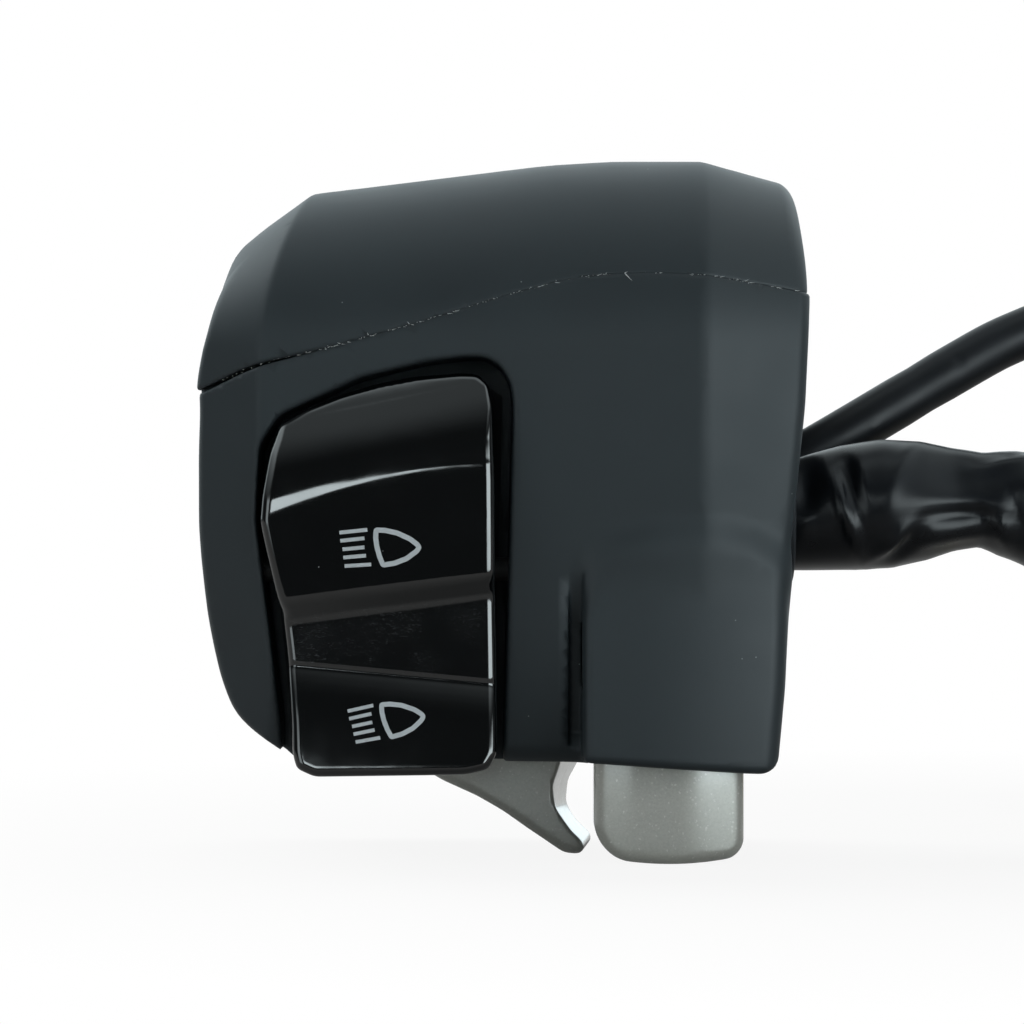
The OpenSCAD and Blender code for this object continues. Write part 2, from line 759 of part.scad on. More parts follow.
module signal_slider() {
    foot = signal_tip_z - 3.1;
    slot_x = tip_r + slide_gap;
    slot_y = signal_stem_y + 2 * slide_gap;
    detent_y = [signal_side_y - past, signal_side_y + detent_depth];
    color(nylon)
        difference() {
            block([lever_x - signal_half_slider, signal_side_y, foot],
                [lever_x + signal_half_slider, signal_y[1] - signal_wall - run_gap, signal_top_z]);
            block([lever_x - slot_x, -slot_y, foot - past],
                [lever_x + slot_x, slot_y, signal_tip_z + tip_r + 2 * slide_gap]);
            rod_y(ball_d / 2 + slide_gap / 2, detent_y[0], detent_y[1], signal_ball_x, signal_ball_z);
        }
}

module signal_contact() {
    color(brass)
        block([lever_x - signal_bridge[0], signal_row_y - signal_bridge[1], signal_top_z],
            [lever_x + signal_bridge[0], signal_row_y + signal_bridge[1], signal_plate_z - contact_gap]);
}

module signal_detent_ball() {
    color(steel)
        translate([signal_ball_x, signal_side_y - run_gap + seat_gap + ball_d / 2, signal_ball_z])
            sphere(d = ball_d);
}

module signal_detent_spring() {
    from = signal_side_y - run_gap + seat_gap + ball_d + seat_gap;
    to = signal_side_y + detent_depth - seat_gap;
    color(steel)
        translate([signal_ball_x, from, signal_ball_z])
            rotate([-90, 0, 0])
                coil(ball_d / 2 - detent_wire, detent_wire, to - from, 3);
}

// Push block with rounded corners and the flange that keeps it in its guide
flange_z = guide_top_z + seat_gap;
contact_z = flange_z + flange_t;

module horn_button() {
    r = button_round;
    half = button_w / 2;
    foot = base_z - button_out;
    outline = concat(arc([button_x - half + r, foot + r], r, 180, 270, 6),
        arc([button_x + half - r, foot + r], r, 270, 360, 6),
        [[button_x + half, flange_z + flange_t], [button_x - half, flange_z + flange_t]]);
    color(flake_grey) {
        slab(outline, button_front_y, button_back_y);
        block([button_x - half - flange_side, horn_front_y + run_gap, flange_z],
            [button_x + half + flange_side, cavity_y - run_gap, contact_z]);
    }
}

module horn_contact() {
    color(brass)
        block([button_x - horn_bridge[0], spring_y - horn_bridge[1], contact_z],
            [button_x + horn_bridge[0], spring_y + horn_bridge[1], contact_z + strip_t]);
}

module horn_return_spring() {
    foot = contact_z + strip_t;
    color(steel)
        translate([button_x, spring_y, foot])
            coil(spring_r, spring_wire, horn_plate_z - foot, 4);
}

horn_terminal_x = [button_x - horn_terminal_out, button_x + horn_terminal_out];

module horn_terminal(x, gap) {
    half = strip_t + gap;
    block([x - terminal_half - gap, spring_y - half, contact_z + strip_t + button_travel + slide_gap],
        [x + terminal_half + gap, spring_y + half, horn_plate_z + horn_plate_t + horn_tail]);
}

module horn_switch_base() {
    half = button_w / 2 + flange_side;
    color(phenolic)
        difference() {
            union() {
                block([button_x - half, horn_front_y + run_gap, horn_plate_z],
                    [button_x + half, cavity_y - run_gap, horn_plate_z + horn_plate_t]);
                translate([button_x, spring_y, horn_plate_z - horn_plate_t])
                    cylinder(r = spring_r - spring_wire / 2 - 0.5, h = 1.5 * horn_plate_t);
                for (x = horn_post_x)
                    block([button_x + x, horn_front_y + run_gap, horn_plate_z],
                        [button_x + x + horn_post[0], horn_front_y + run_gap + horn_post[1], horn_top_z]);
            }
            for (x = horn_terminal_x)
                horn_terminal(x, press_fit);
        }
}

module horn_terminals() {
    color(brass)
        for (x = horn_terminal_x)
            horn_terminal(x, 0);
}

// Rubber grommets in the right end wall
module grommet_hole(d, y, z) {
    r = d / 2 + pin_fit + grommet_wall;
    rod_x(r + press_fit, inner_x, reach, y, z);
    rod_x(r + grommet_lip - grommet_wall + slide_gap, inner_x, seat_x, y, z);
}

module grommet(d, y, z) {
    r = d / 2 + pin_fit + grommet_wall;
    difference() {
        union() {
            rod_x(r, seat_x - past, seat_x + grommet_len, y, z);
            rod_x(r + grommet_lip - grommet_wall, seat_x - grommet_foot, seat_x, y, z);
        }
        rod_x(d / 2 + pin_fit, inner_x, reach, y, z);
    }
}

module harness_grommet() {
    color(rubber)
        grommet(sleeve_d, sleeve_y, sleeve_z);
}

module lead_grommet() {
    color(rubber)
        grommet(lead_d, lead_y, lead_z);
}

// Wires from the terminals to the end of the sleeve
wire_lay_z = signal_plate_z + signal_plate_t + signal_tail + wire_d / 2 + slide_gap;
beam_wire_route = [[-16, 9.2, -25], [-8, 9.4, -25], [0, 9.6, -24.5], [9, 8.5, -23.5], [17, 4.6, -22.6],
    [22, 0.6, -21.8], [25.8, -1.4, -21.4]];
signal_wire_route = [[-6, signal_row_y, wire_lay_z], [0, signal_row_y, wire_lay_z],
    [8, 1.2, wire_lay_z - 0.3], [14, 0.2, wire_lay_z - 1], [20, -1.6, wire_lay_z - 2],
    [25.8, -3, sleeve_z + 1.9]];
horn_wire_routes = [
    [[9.8, -15.2, -22.8], [9.8, -12, -22.8], [10.4, -8.6, -22.4], [13, -6.2, -21.6], [18.4, -5, -20.6],
        [25.8, -4.8, -19.4]],
    [[21.8, -15.2, -22.8], [21.8, -12, -22.8], [22, -9.2, -22.6], [23.2, -7, -22.2], [25.8, -5.6, -21.8]]];

module beam_wires() {
    color("#3d5a8a")
        tube(smooth(beam_wire_route, 3), wire_d, 8);
}

module signal_wires() {
    color("#8a5a2e")
        tube(smooth(signal_wire_route, 3), wire_d, 8);
}

module horn_wires() {
    color("#3f7a4a")
        for (route = horn_wire_routes)
            tube(smooth(route, 3), wire_d, 8);
}

module harness_sleeve() {
    color(vinyl)
        tube(sleeve_route, sleeve_d - seat_gap, 12);
}

module harness_connector() {
    end = sleeve_route[len(sleeve_route) - 1];
    w = harness_plug[0];
    len_y = harness_plug[1];
    h = harness_plug[2];
    neck_half = sleeve_d / 2 + neck_wall;
    color(nylon)
        translate([end[0], end[1], table_z])
            difference() {
                union() {
                    block([-w / 2, -len_y, 0], [w / 2, -harness_neck, h]);
                    block([-neck_half, -harness_neck, 0], [neck_half, 0, sleeve_d]);
                    block([-latch_half, -len_y * 0.75, h], [latch_half, -len_y * 0.35, h + latch_h]);
                }
                for (x = harness_way_x)
                    for (z = harness_way_z)
                        block([x - way_half, -len_y - past, z - way_half],
                            [x + way_half, -len_y + way_depth, z + way_half]);
            }
}

module clutch_lead() {
    color(vinyl)
        tube(lead_route, lead_d - seat_gap, 10);
}

module lead_connector() {
    last = len(lead_route) - 1;
    end = lead_route[last];
    way = end - lead_route[last - 1];
    len_x = lead_plug[0];
    half = lead_plug[1] / 2;
    h = lead_plug[2];
    neck_half = lead_d / 2 + neck_wall;
    color(nylon)
        translate([end[0], end[1], table_z])
            rotate([0, 0, atan2(way[1], way[0])])
                difference() {
                    union() {
                        block([lead_neck, -half, 0], [len_x, half, h]);
                        block([0, -neck_half, 0], [lead_neck, neck_half, lead_d + neck_wall]);
                        block([len_x * 0.35, -latch_half / 2, h], [len_x * 0.8, latch_half / 2, h + latch_h]);
                    }
                    for (y = lead_way_y)
                        block([len_x - way_depth, y - way_half, lead_way_z - way_half],
                            [len_x + past, y + way_half, lead_way_z + way_half]);
                }
}

upper_shell();
lower_shell();
back_cover();
clamp_screws();
thread_inserts();
cover_screws();
beam_rocker();
rocker_pivot_pin();
rocker_dust_seal();
beam_switch_base();
beam_slider();
beam_contact();
beam_detent_ball();
beam_detent_spring();
beam_terminals();
signal_lever();
lever_pivot_pin();
signal_switch_base();
signal_slider();
signal_contact();
signal_detent_ball();
signal_detent_spring();
signal_terminals();
horn_button();
horn_return_spring();
horn_contact();
horn_switch_base();
horn_terminals();
harness_grommet();
lead_grommet();
beam_wires();
signal_wires();
horn_wires();
harness_sleeve();
harness_connector();
clutch_lead();
lead_connector();
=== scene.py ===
import math
import bmesh
import bpy
import numpy as np
import openvdb as vdb
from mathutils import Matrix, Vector
from mathutils.bvhtree import BVHTree


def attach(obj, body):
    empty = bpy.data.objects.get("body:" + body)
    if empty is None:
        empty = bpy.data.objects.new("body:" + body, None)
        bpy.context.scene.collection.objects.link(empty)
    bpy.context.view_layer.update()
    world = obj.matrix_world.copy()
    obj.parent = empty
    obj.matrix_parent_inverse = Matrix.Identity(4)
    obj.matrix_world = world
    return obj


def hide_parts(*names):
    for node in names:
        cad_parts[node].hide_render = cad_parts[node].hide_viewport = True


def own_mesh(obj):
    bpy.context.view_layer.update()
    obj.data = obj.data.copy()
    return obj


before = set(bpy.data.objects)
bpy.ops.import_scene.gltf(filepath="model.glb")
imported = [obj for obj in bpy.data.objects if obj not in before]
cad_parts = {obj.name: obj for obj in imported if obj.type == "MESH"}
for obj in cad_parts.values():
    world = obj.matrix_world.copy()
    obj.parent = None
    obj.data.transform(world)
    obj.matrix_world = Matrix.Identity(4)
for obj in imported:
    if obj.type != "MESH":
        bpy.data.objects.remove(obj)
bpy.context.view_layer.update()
print("frame loaded")

# Lengths below are mm in the frame of the part; meshes are kept in metres.
mm = 0.001


def linear(code):
    parts = [int(code[k:k + 2], 16) / 255 for k in (1, 3, 5)]
    return tuple(c / 12.92 if c <= 0.04045 else ((c + 0.055) / 1.055) ** 2.4 for c in parts) + (1.0,)


def addNode(tree, kind, settings=None, links=None):
    node = tree.nodes.new(kind)
    for key, value in (settings or {}).items():
        if isinstance(key, str) and hasattr(node, key):
            setattr(node, key, value)
        else:
            node.inputs[key].default_value = value
    for key, source in (links or {}).items():
        tree.links.new(source, node.inputs[key])
    return node


def linkObject(name, data):
    obj = bpy.data.objects.new(name, data)
    bpy.context.scene.collection.objects.link(obj)
    return obj


def makeObject(name, points, faces, material, sharp=None):
    mesh = bpy.data.meshes.new(name)
    mesh.from_pydata((np.asarray(points, float) * mm).tolist(), [], faces)
    bm = bmesh.new()
    bm.from_mesh(mesh)
    bmesh.ops.recalc_face_normals(bm, faces=bm.faces)
    bm.to_mesh(mesh)
    bm.free()
    mesh.shade_smooth()
    if sharp:
        mesh.set_sharp_from_angle(angle=math.radians(sharp))
    mesh.materials.append(material)
    return linkObject(name, mesh)


def mergeDoubles(mesh):
    bm = bmesh.new()
    bm.from_mesh(mesh)
    bmesh.ops.remove_doubles(bm, verts=bm.verts, dist=1e-7)
    bm.to_mesh(mesh)
    bm.free()


# A finished piece rides a body and stands for a node of the part, whose CAD mesh it hides.
def standIn(piece, body, node):
    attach(piece, body)
    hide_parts(node)


def ringSkin(rings, capped=True):
    rings = np.asarray(rings, float)
    count, size = rings.shape[:2]
    at = np.arange(count * size).reshape(count, size)
    near, far = at[:-1], at[1:]
    quads = np.stack([near, np.roll(near, -1, 1), np.roll(far, -1, 1), far], 2).reshape(-1, 4).tolist()
    if capped:
        quads += [at[0][::-1].tolist(), at[-1].tolist()]
    return rings.reshape(-1, 3), quads


def lengthsAlong(line):
    return np.r_[0, np.cumsum(np.linalg.norm(np.diff(line, axis=0), axis=1))]


# Weights of a bell curve that eases a corner over the soft length.
def bellWeights(size, step, soft):
    weight = np.exp(-0.5 * (np.arange(-size, size + 1) * step / soft) ** 2)
    return weight / weight.sum()


# A line of straight runs, sampled at a step, with its corners eased over the soft length.
def softLine(points, step, soft, closed=False):
    line = np.asarray(points, float)
    if closed:
        line = np.vstack([line, line[:1]])
    run = lengthsAlong(line)
    at = np.linspace(0, run[-1], max(12, int(run[-1] / step)) + 1)
    line = np.stack([np.interp(at, run, line[:, k]) for k in range(line.shape[1])], 1)
    size = min(int(4 * soft / step), len(line) - 2)
    if closed:
        line = line[:-1]
        padded = np.vstack([line[-size:], line, line[:size]])
    else:
        padded = np.vstack([2 * line[0] - line[size:0:-1], line, 2 * line[-1] - line[-2:-size - 2:-1]])
    weight = bellWeights(size, step, soft)
    return np.stack([np.convolve(padded[:, k], weight, "valid") for k in range(line.shape[1])], 1)


# Cross directions carried along a path without twist.
def carryFrames(path, start):
    ahead = np.gradient(path, axis=0)
    ahead /= np.linalg.norm(ahead, axis=1)[:, None]
    side = np.zeros_like(path)
    now = np.asarray(start, float)
    for k in range(len(path)):
        now = now - ahead[k] * now.dot(ahead[k])
        now /= np.linalg.norm(now)
        side[k] = now
    return side, np.cross(side, ahead)


# Camera of the photograph: level, about 0.4 m in front of the housing.
cameraSet = {"lens": 133.6, "sensor": 36.0, "place": (0.0, -400.5, -19.2)}
cameraData = bpy.data.cameras.new("camera")
cameraData.lens = cameraSet["lens"]
cameraData.sensor_width = cameraSet["sensor"]
camera = linkObject("camera", cameraData)
camera.location = Vector(cameraSet["place"]) * mm
camera.rotation_euler = (math.pi / 2, 0, 0)
bpy.context.scene.camera = camera
print("camera set")

# Finishes: their colours, and the sizes in mm of what their patterns draw.
finishes = {
    "shellDark": "#23282b", "shellPale": "#292f32", "shellDust": "#8d9494",
    "rocker": "#050607", "rockerDust": "#8b9092", "rockerLint": "#a9aeaf",
    "flakeBase": "#acada6", "flakeDark": "#a3a49d", "flakeBright": "#dcddd8",
    "vinyl": "#07080a", "vinylWorn": "#111418", "rubber": "#15171a", "rubberPale": "#24272a",
    "print": "#cfd6da", "printThin": "#aeb6ba", "steel": "#b6babd", "steelDull": "#7d8286",
    "oxide": "#0a0a0b", "oxideDark": "#050506", "brass": "#c29a4b", "brassDull": "#8f6c2e",
    "nylon": "#d8d3c4", "nylonShade": "#bdb7a6", "phenolic": "#5a3322", "phenolicPale": "#7a4a30",
    "wireGreen": "#2f6b3a", "wireBlue": "#2a4f86", "wireYellow": "#c7a62c",
    "burr": "#e4e8e8", "floor": "#bcbcba", "room": "#e2eef1"}
patterns = {
    "shellCloud": 11.111, "shellSpeck": 2.381, "shellGrain": 0.1923, "lint": 0.6667, "blot": 3.846,
    "rockerSpeck": 1.5625, "ripple": 4.1667, "flake": 0.17857, "flakeCloud": 1.4286, "sheathCloud": 6.25}


def patternScale(name):
    return 1 / (patterns[name] * mm)


def startMaterial(name):
    material = bpy.data.materials.new(name)
    material.use_nodes = True
    tree = material.node_tree
    shader = tree.nodes["Principled BSDF"]
    place = addNode(tree, "ShaderNodeTexCoord").outputs["Object"]
    return material, tree, shader, place


# Specks of dust over a colour: small dots in some of the cells.
def dustSpecks(tree, place, under, pattern, colour, dot, strength, rare):
    cells = addNode(tree, "ShaderNodeTexVoronoi", {"Scale": patternScale(pattern)}, {"Vector": place})
    speck = addNode(tree, "ShaderNodeMapRange", {1: dot[0], 2: dot[1], 3: 0.0, 4: strength},
                    {0: cells.outputs["Distance"]})
    some = addNode(tree, "ShaderNodeMath", {"operation": "GREATER_THAN", 1: rare},
                   {0: cells.outputs["Color"]})
    dust = addNode(tree, "ShaderNodeMath", {"operation": "MULTIPLY"},
                   {0: speck.outputs[0], 1: some.outputs[0]})
    final = addNode(tree, "ShaderNodeMix", {"data_type": "RGBA", 7: linear(finishes[colour])},
                    {0: dust.outputs[0], 6: under})
    return final.outputs[2]


# Satin moulded plastic: a fine grain, soft cloudy sheen and a few specks of dust on charcoal.
def satinPlastic(name, dark, pale, rough):
    material, tree, shader, place = startMaterial(name)
    cloud = addNode(tree, "ShaderNodeTexNoise", {"Scale": patternScale("shellCloud"), "Detail": 3.0},
                    {"Vector": place})
    body = addNode(tree, "ShaderNodeMix", {"data_type": "RGBA", 6: linear(dark), 7: linear(pale)},
                   {0: cloud.outputs["Fac"]})
    specked = dustSpecks(tree, place, body.outputs[2], "shellSpeck", "shellDust", (0.035, 0.02), 0.75, 0.72)
    tree.links.new(specked, shader.inputs["Base Color"])
    sheen = addNode(tree, "ShaderNodeMapRange", {1: 0.3, 2: 0.7, 3: rough - 0.03, 4: rough + 0.04},
                    {0: cloud.outputs["Fac"]})
    tree.links.new(sheen.outputs[0], shader.inputs["Roughness"])
    shader.inputs["Specular IOR Level"].default_value = 0.2
    grain = addNode(tree, "ShaderNodeTexNoise", {"Scale": patternScale("shellGrain"), "Detail": 2.0},
                    {"Vector": place})
    bump = addNode(tree, "ShaderNodeBump", {"Strength": 0.05, "Distance": 0.04 * mm},
                   {"Height": grain.outputs["Fac"]})
    tree.links.new(bump.outputs[0], shader.inputs["Normal"])
    return material


# Gloss black plastic: mirror-like and near black, with a dull linty film where the dust attribute is high.
def glossPlastic(name):
    material, tree, shader, place = startMaterial(name)
    film = addNode(tree, "ShaderNodeAttribute", {"attribute_name": "dust"})
    streak = addNode(tree, "ShaderNodeMapping", {"Rotation": (0.4, 0.7, 0.3), "Scale": (1.0, 1.0, 3.5)},
                     {"Vector": place})
    lint = addNode(tree, "ShaderNodeTexNoise", {"Scale": patternScale("lint"), "Detail": 6.0,
                                                "Roughness": 0.75, "Distortion": 1.6},
                   {"Vector": streak.outputs[0]})
    blot = addNode(tree, "ShaderNodeTexNoise", {"Scale": patternScale("blot"), "Detail": 3.0},
                   {"Vector": place})
    fibre = addNode(tree, "ShaderNodeMapRange", {1: 0.56, 2: 0.78, 3: 0.0, 4: 1.0}, {0: lint.outputs["Fac"]})
    patch = addNode(tree, "ShaderNodeMapRange", {1: 0.4, 2: 0.62, 3: 0.12, 4: 0.8}, {0: blot.outputs["Fac"]})
    fluff = addNode(tree, "ShaderNodeMath", {"operation": "MULTIPLY"},
                    {0: fibre.outputs[0], 1: patch.outputs[0]})
    dull = addNode(tree, "ShaderNodeMath", {"operation": "MULTIPLY"},
                   {0: fluff.outputs[0], 1: film.outputs["Fac"]})
    dusty = addNode(tree, "ShaderNodeMix", {"data_type": "RGBA", 6: linear(finishes["rocker"]),
                                            7: linear(finishes["rockerDust"])}, {0: dull.outputs[0]})
    specked = dustSpecks(tree, place, dusty.outputs[2], "rockerSpeck", "rockerLint", (0.05, 0.03), 0.7, 0.8)
    tree.links.new(specked, shader.inputs["Base Color"])
    smear = addNode(tree, "ShaderNodeMapRange", {1: 0.3, 2: 0.75, 3: 0.05, 4: 0.12}, {0: blot.outputs["Fac"]})
    rough = addNode(tree, "ShaderNodeMath", {"operation": "MULTIPLY_ADD", 1: 0.03},
                    {0: film.outputs["Fac"], 2: smear.outputs[0]})
    tree.links.new(rough.outputs[0], shader.inputs["Roughness"])
    ripple = addNode(tree, "ShaderNodeTexNoise", {"Scale": patternScale("ripple"), "Detail": 1.0},
                     {"Vector": place})
    bump = addNode(tree, "ShaderNodeBump", {"Strength": 0.25, "Distance": 0.12 * mm},
                   {"Height": ripple.outputs["Fac"]})
    tree.links.new(bump.outputs[0], shader.inputs["Normal"])
    return material


# Grey metal-flake paint under lacquer: bright flakes in a warm grey, drawn coarser than real ones to show.
def flakePaint(name):
    material, tree, shader, place = startMaterial(name)
    cells = addNode(tree, "ShaderNodeTexVoronoi", {"Scale": patternScale("flake")}, {"Vector": place})
    value = addNode(tree, "ShaderNodeSeparateColor", None, {0: cells.outputs["Color"]})
    tone = addNode(tree, "ShaderNodeMix", {"data_type": "RGBA", 6: linear(finishes["flakeDark"]),
                                           7: linear(finishes["flakeBase"])}, {0: value.outputs[0]})
    spark = addNode(tree, "ShaderNodeMapRange", {1: 0.96, 2: 1.0, 3: 0.0, 4: 0.5}, {0: value.outputs[1]})
    final = addNode(tree, "ShaderNodeMix", {"data_type": "RGBA", 7: linear(finishes["flakeBright"])},
                    {0: spark.outputs[0], 6: tone.outputs[2]})
    tree.links.new(final.outputs[2], shader.inputs["Base Color"])
    shader.inputs["Metallic"].default_value = 0.1
    cloud = addNode(tree, "ShaderNodeTexNoise", {"Scale": patternScale("flakeCloud"), "Detail": 2.0},
                    {"Vector": place})
    rough = addNode(tree, "ShaderNodeMapRange", {1: 0.3, 2: 0.7, 3: 0.3, 4: 0.4}, {0: cloud.outputs["Fac"]})
    tree.links.new(rough.outputs[0], shader.inputs["Roughness"])
    shader.inputs["Coat Weight"].default_value = 1.0
    shader.inputs["Coat Roughness"].default_value = 0.12
    bump = addNode(tree, "ShaderNodeBump", {"Strength": 0.06, "Distance": 0.02 * mm},
                   {"Height": value.outputs[2]})
    tree.links.new(bump.outputs[0], shader.inputs["Normal"])
    return material


# Soft sheathing: two close tones, a waxy uneven gloss and a faint skin texture.
def softSheath(name, base, worn, rough, pitch):
    material, tree, shader, place = startMaterial(name)
    cloud = addNode(tree, "ShaderNodeTexNoise", {"Scale": patternScale("sheathCloud"), "Detail": 4.0},
                    {"Vector": place})
    tone = addNode(tree, "ShaderNodeMix", {"data_type": "RGBA", 6: linear(base), 7: linear(worn)},
                   {0: cloud.outputs["Fac"]})
    tree.links.new(tone.outputs[2], shader.inputs["Base Color"])
    shader.inputs["Specular IOR Level"].default_value = 0.14
    gloss = addNode(tree, "ShaderNodeMapRange", {1: 0.3, 2: 0.7, 3: rough - 0.05, 4: rough + 0.07},
                    {0: cloud.outputs["Fac"]})
    tree.links.new(gloss.outputs[0], shader.inputs["Roughness"])
    skin = addNode(tree, "ShaderNodeTexNoise", {"Scale": 1 / (pitch * mm), "Detail": 2.0}, {"Vector": place})
    bump = addNode(tree, "ShaderNodeBump", {"Strength": 0.06, "Distance": 0.05 * mm},
                   {"Height": skin.outputs["Fac"]})
    tree.links.new(bump.outputs[0], shader.inputs["Normal"])
    return material


# Plain stock (metal, nylon, board, print): two tones in a cloud or in drawn lines, with roughness to match.
def plainStock(name, base, second, rough, metal=0.0, pitch=1.0, drawn=(1.0, 1.0, 1.0)):
    material, tree, shader, place = startMaterial(name)
    stretch = addNode(tree, "ShaderNodeMapping", {"Scale": drawn}, {"Vector": place})
    cloud = addNode(tree, "ShaderNodeTexNoise", {"Scale": 1 / (pitch * mm), "Detail": 4.0},
                    {"Vector": stretch.outputs[0]})
    tone = addNode(tree, "ShaderNodeMix", {"data_type": "RGBA", 6: linear(base), 7: linear(second)},
                   {0: cloud.outputs["Fac"]})
    tree.links.new(tone.outputs[2], shader.inputs["Base Color"])
    shader.inputs["Metallic"].default_value = metal
    gloss = addNode(tree, "ShaderNodeMapRange", {1: 0.3, 2: 0.7, 3: rough - 0.05, 4: rough + 0.08},
                    {0: cloud.outputs["Fac"]})
    tree.links.new(gloss.outputs[0], shader.inputs["Roughness"])
    return material


stock = {
    # Charcoal with a broad soft sheen.
    "shell": satinPlastic("satin charcoal plastic", finishes["shellDark"], finishes["shellPale"], 0.5),
    # Near black, with clear reflections of the room.
    "gloss": glossPlastic("gloss black plastic"),
    # Warm grey that sparkles.
    "flake": flakePaint("grey metal-flake paint"),
    # Black with a waxy shine on each fold.
    "vinyl": softSheath("black vinyl sleeving", finishes["vinyl"], finishes["vinylWorn"], 0.3, 0.6),
    # Black with a dull, even shine.
    "cable": softSheath("satin black cable sheath", finishes["vinyl"], finishes["vinylWorn"], 0.42, 0.3),
    # Black, almost without shine.
    "rubber": softSheath("moulded black rubber", finishes["rubber"], finishes["rubberPale"], 0.6, 0.4),
    # Off-white ink, a little uneven.
    "print": plainStock("white pad print", finishes["print"], finishes["printThin"], 0.5, 0.0, 0.9),
    # Bright metal with dull patches.
    "steel": plainStock("zinc-plated steel", finishes["steel"], finishes["steelDull"], 0.3, 1.0, 1.2),
    # Yellow metal with fine lines from drawing.
    "brass": plainStock("drawn brass", finishes["brass"], finishes["brassDull"], 0.34, 1.0, 0.8, (1, 1, 4)),
    # Milky white, slightly mottled.
    "nylon": plainStock("natural nylon", finishes["nylon"], finishes["nylonShade"], 0.5, 0.0, 3.0),
    # Brown board in thin layers.
    "board": plainStock("phenolic board", finishes["phenolic"], finishes["phenolicPale"], 0.55, 0.0, 0.7,
                        (1, 6, 1)),
    # Black metal without shine.
    "oxide": plainStock("black oxide steel", finishes["oxide"], finishes["oxideDark"], 0.75, 0.0, 0.8),
    # Pale torn plastic, matt.
    "burr": plainStock("pale burr and lint", finishes["burr"], finishes["shellDust"], 0.7, 0.0, 0.4)}
# Wire insulation: plain colours with a soft shine.
for colour in ("Green", "Blue", "Yellow"):
    dye = finishes["wire" + colour]
    stock["wire" + colour] = softSheath(colour.lower() + " wire insulation", dye, dye, 0.42, 0.5)
print("finishes made")

# Harness sleeve: limp vinyl over a loom, pinched and folded near the housing, then lying on the table. A fold
# is its place along the sleeve, turn, lean, width, length and height.
sleeve = {
    "exit": (29.2, -3, -19.9), "diameter": 12.0, "length": 245.0, "sides": 64, "step": 0.6, "soft": 2.4,
    "route": [(26.2, -3, -19.9), (29.2, -3, -19.8), (33, -3, -19.0), (39, -3, -18.3), (46, -3, -17.8),
              (52, -2.8, -18.0), (58.5, -1.6, -20.4), (64.9, 0.4, -25.6), (70.8, 2.8, -32.8),
              (77.4, 6, -40.0), (85, 9.6, -45.8), (94, 12.8, -48.4), (104, 14.6, -48.5), (116, 18.4, -48.5),
              (126, 25.4, -48.5), (133, 35.6, -48.5), (135.4, 47.8, -48.5), (133, 60, -48.5),
              (126.4, 70.6, -48.5), (116.6, 78.2, -48.5), (104.8, 81.8, -48.5), (92.6, 80.8, -48.5),
              (81.6, 75.6, -48.5), (73.8, 66.6, -48.5), (70.4, 55.4, -48.5), (70, 48, -48.5),
              (70, 44.6, -48.5)],
    "radius": [(0, 5.4), (3, 5.7), (6, 6.15), (9, 6.55), (13, 6.75), (17, 6.2), (20, 5.4), (23, 4.95),
               (26, 5.6), (32, 5.9), (60, 5.8), (230, 5.7), (252, 5.2), (262, 4.6)],
    "folds": [(4.6, 24, 80, 1.1, 2.6, -0.8), (4.0, -8, 75, 0.8, 2.0, 0.3), (8.3, -10, 104, 0.55, 5.2, 0.62),
              (9.2, 20, 96, 0.75, 2.8, -0.95), (10.2, 26, 84, 0.5, 2.2, 0.4), (12.8, -36, 42, 0.6, 2.6, 0.55),
              (14.2, -44, 46, 0.8, 2.2, -0.65), (19.4, 24, 10, 3.0, 4.4, -0.75),
              (14.6, 40, 62, 0.7, 3.4, 0.35), (19.0, -40, -4, 1.2, 4.6, 0.5), (20.0, -16, -2, 0.8, 4.4, -0.6),
              (24.4, -30, 118, 0.7, 3.2, 0.55), (26.0, -6, 112, 0.9, 3.4, -0.6),
              (25.0, 52, 24, 0.9, 4.0, 0.4), (30, 10, 100, 0.9, 4.4, -0.55)],
    "loose": {"count": 70, "seed": 11, "from": 32, "endGap": 12, "turn": (0, 360), "lean": (40, 140),
              "wide": (0.6, 1.4), "long": (2.0, 4.6), "high": [-0.55, 0.4]}}


# Folds scattered at random over the rest of a sleeve.
def looseFolds(loose, total):
    pick = np.random.default_rng(loose["seed"])
    folds = []
    for k in range(loose["count"]):
        at = pick.uniform(loose["from"], total - loose["endGap"])
        sizes = [pick.uniform(*loose[key]) for key in ("turn", "lean", "wide", "long")]
        folds.append((at, *sizes, pick.choice(loose["high"])))
    return folds


def foldedTube(values, path):
    side, up = carryFrames(path, (0, -1, 0))
    run = lengthsAlong(path)
    turn = np.linspace(0, 2 * math.pi, values["sides"], endpoint=False)
    s, angle = np.meshgrid(run, turn, indexing="ij")
    radius = np.interp(s, *np.array(values["radius"], float).T)
    loose = looseFolds(values["loose"], run[-1]) if "loose" in values else []
    for at, degrees, lean, wide, long, high in values["folds"] + loose:
        across = (angle - math.radians(degrees) + math.pi) % (2 * math.pi) - math.pi
        across = across * values["diameter"] / 2
        c, d = math.cos(math.radians(lean)), math.sin(math.radians(lean))
        along = (s - at) * c + across * d
        over = (s - at) * d - across * c
        radius = radius + high * np.exp(-(over / wide) ** 2 - (along / long) ** 2)
    ring = side[:, None] * np.cos(angle)[..., None] + up[:, None] * np.sin(angle)[..., None]
    return ringSkin(path[:, None] + ring * radius[..., None])


sleevePath = softLine(sleeve["route"], sleeve["step"], sleeve["soft"])
sleeveTube = makeObject("harnessSleeve", *foldedTube(sleeve, sleevePath), stock["vinyl"])

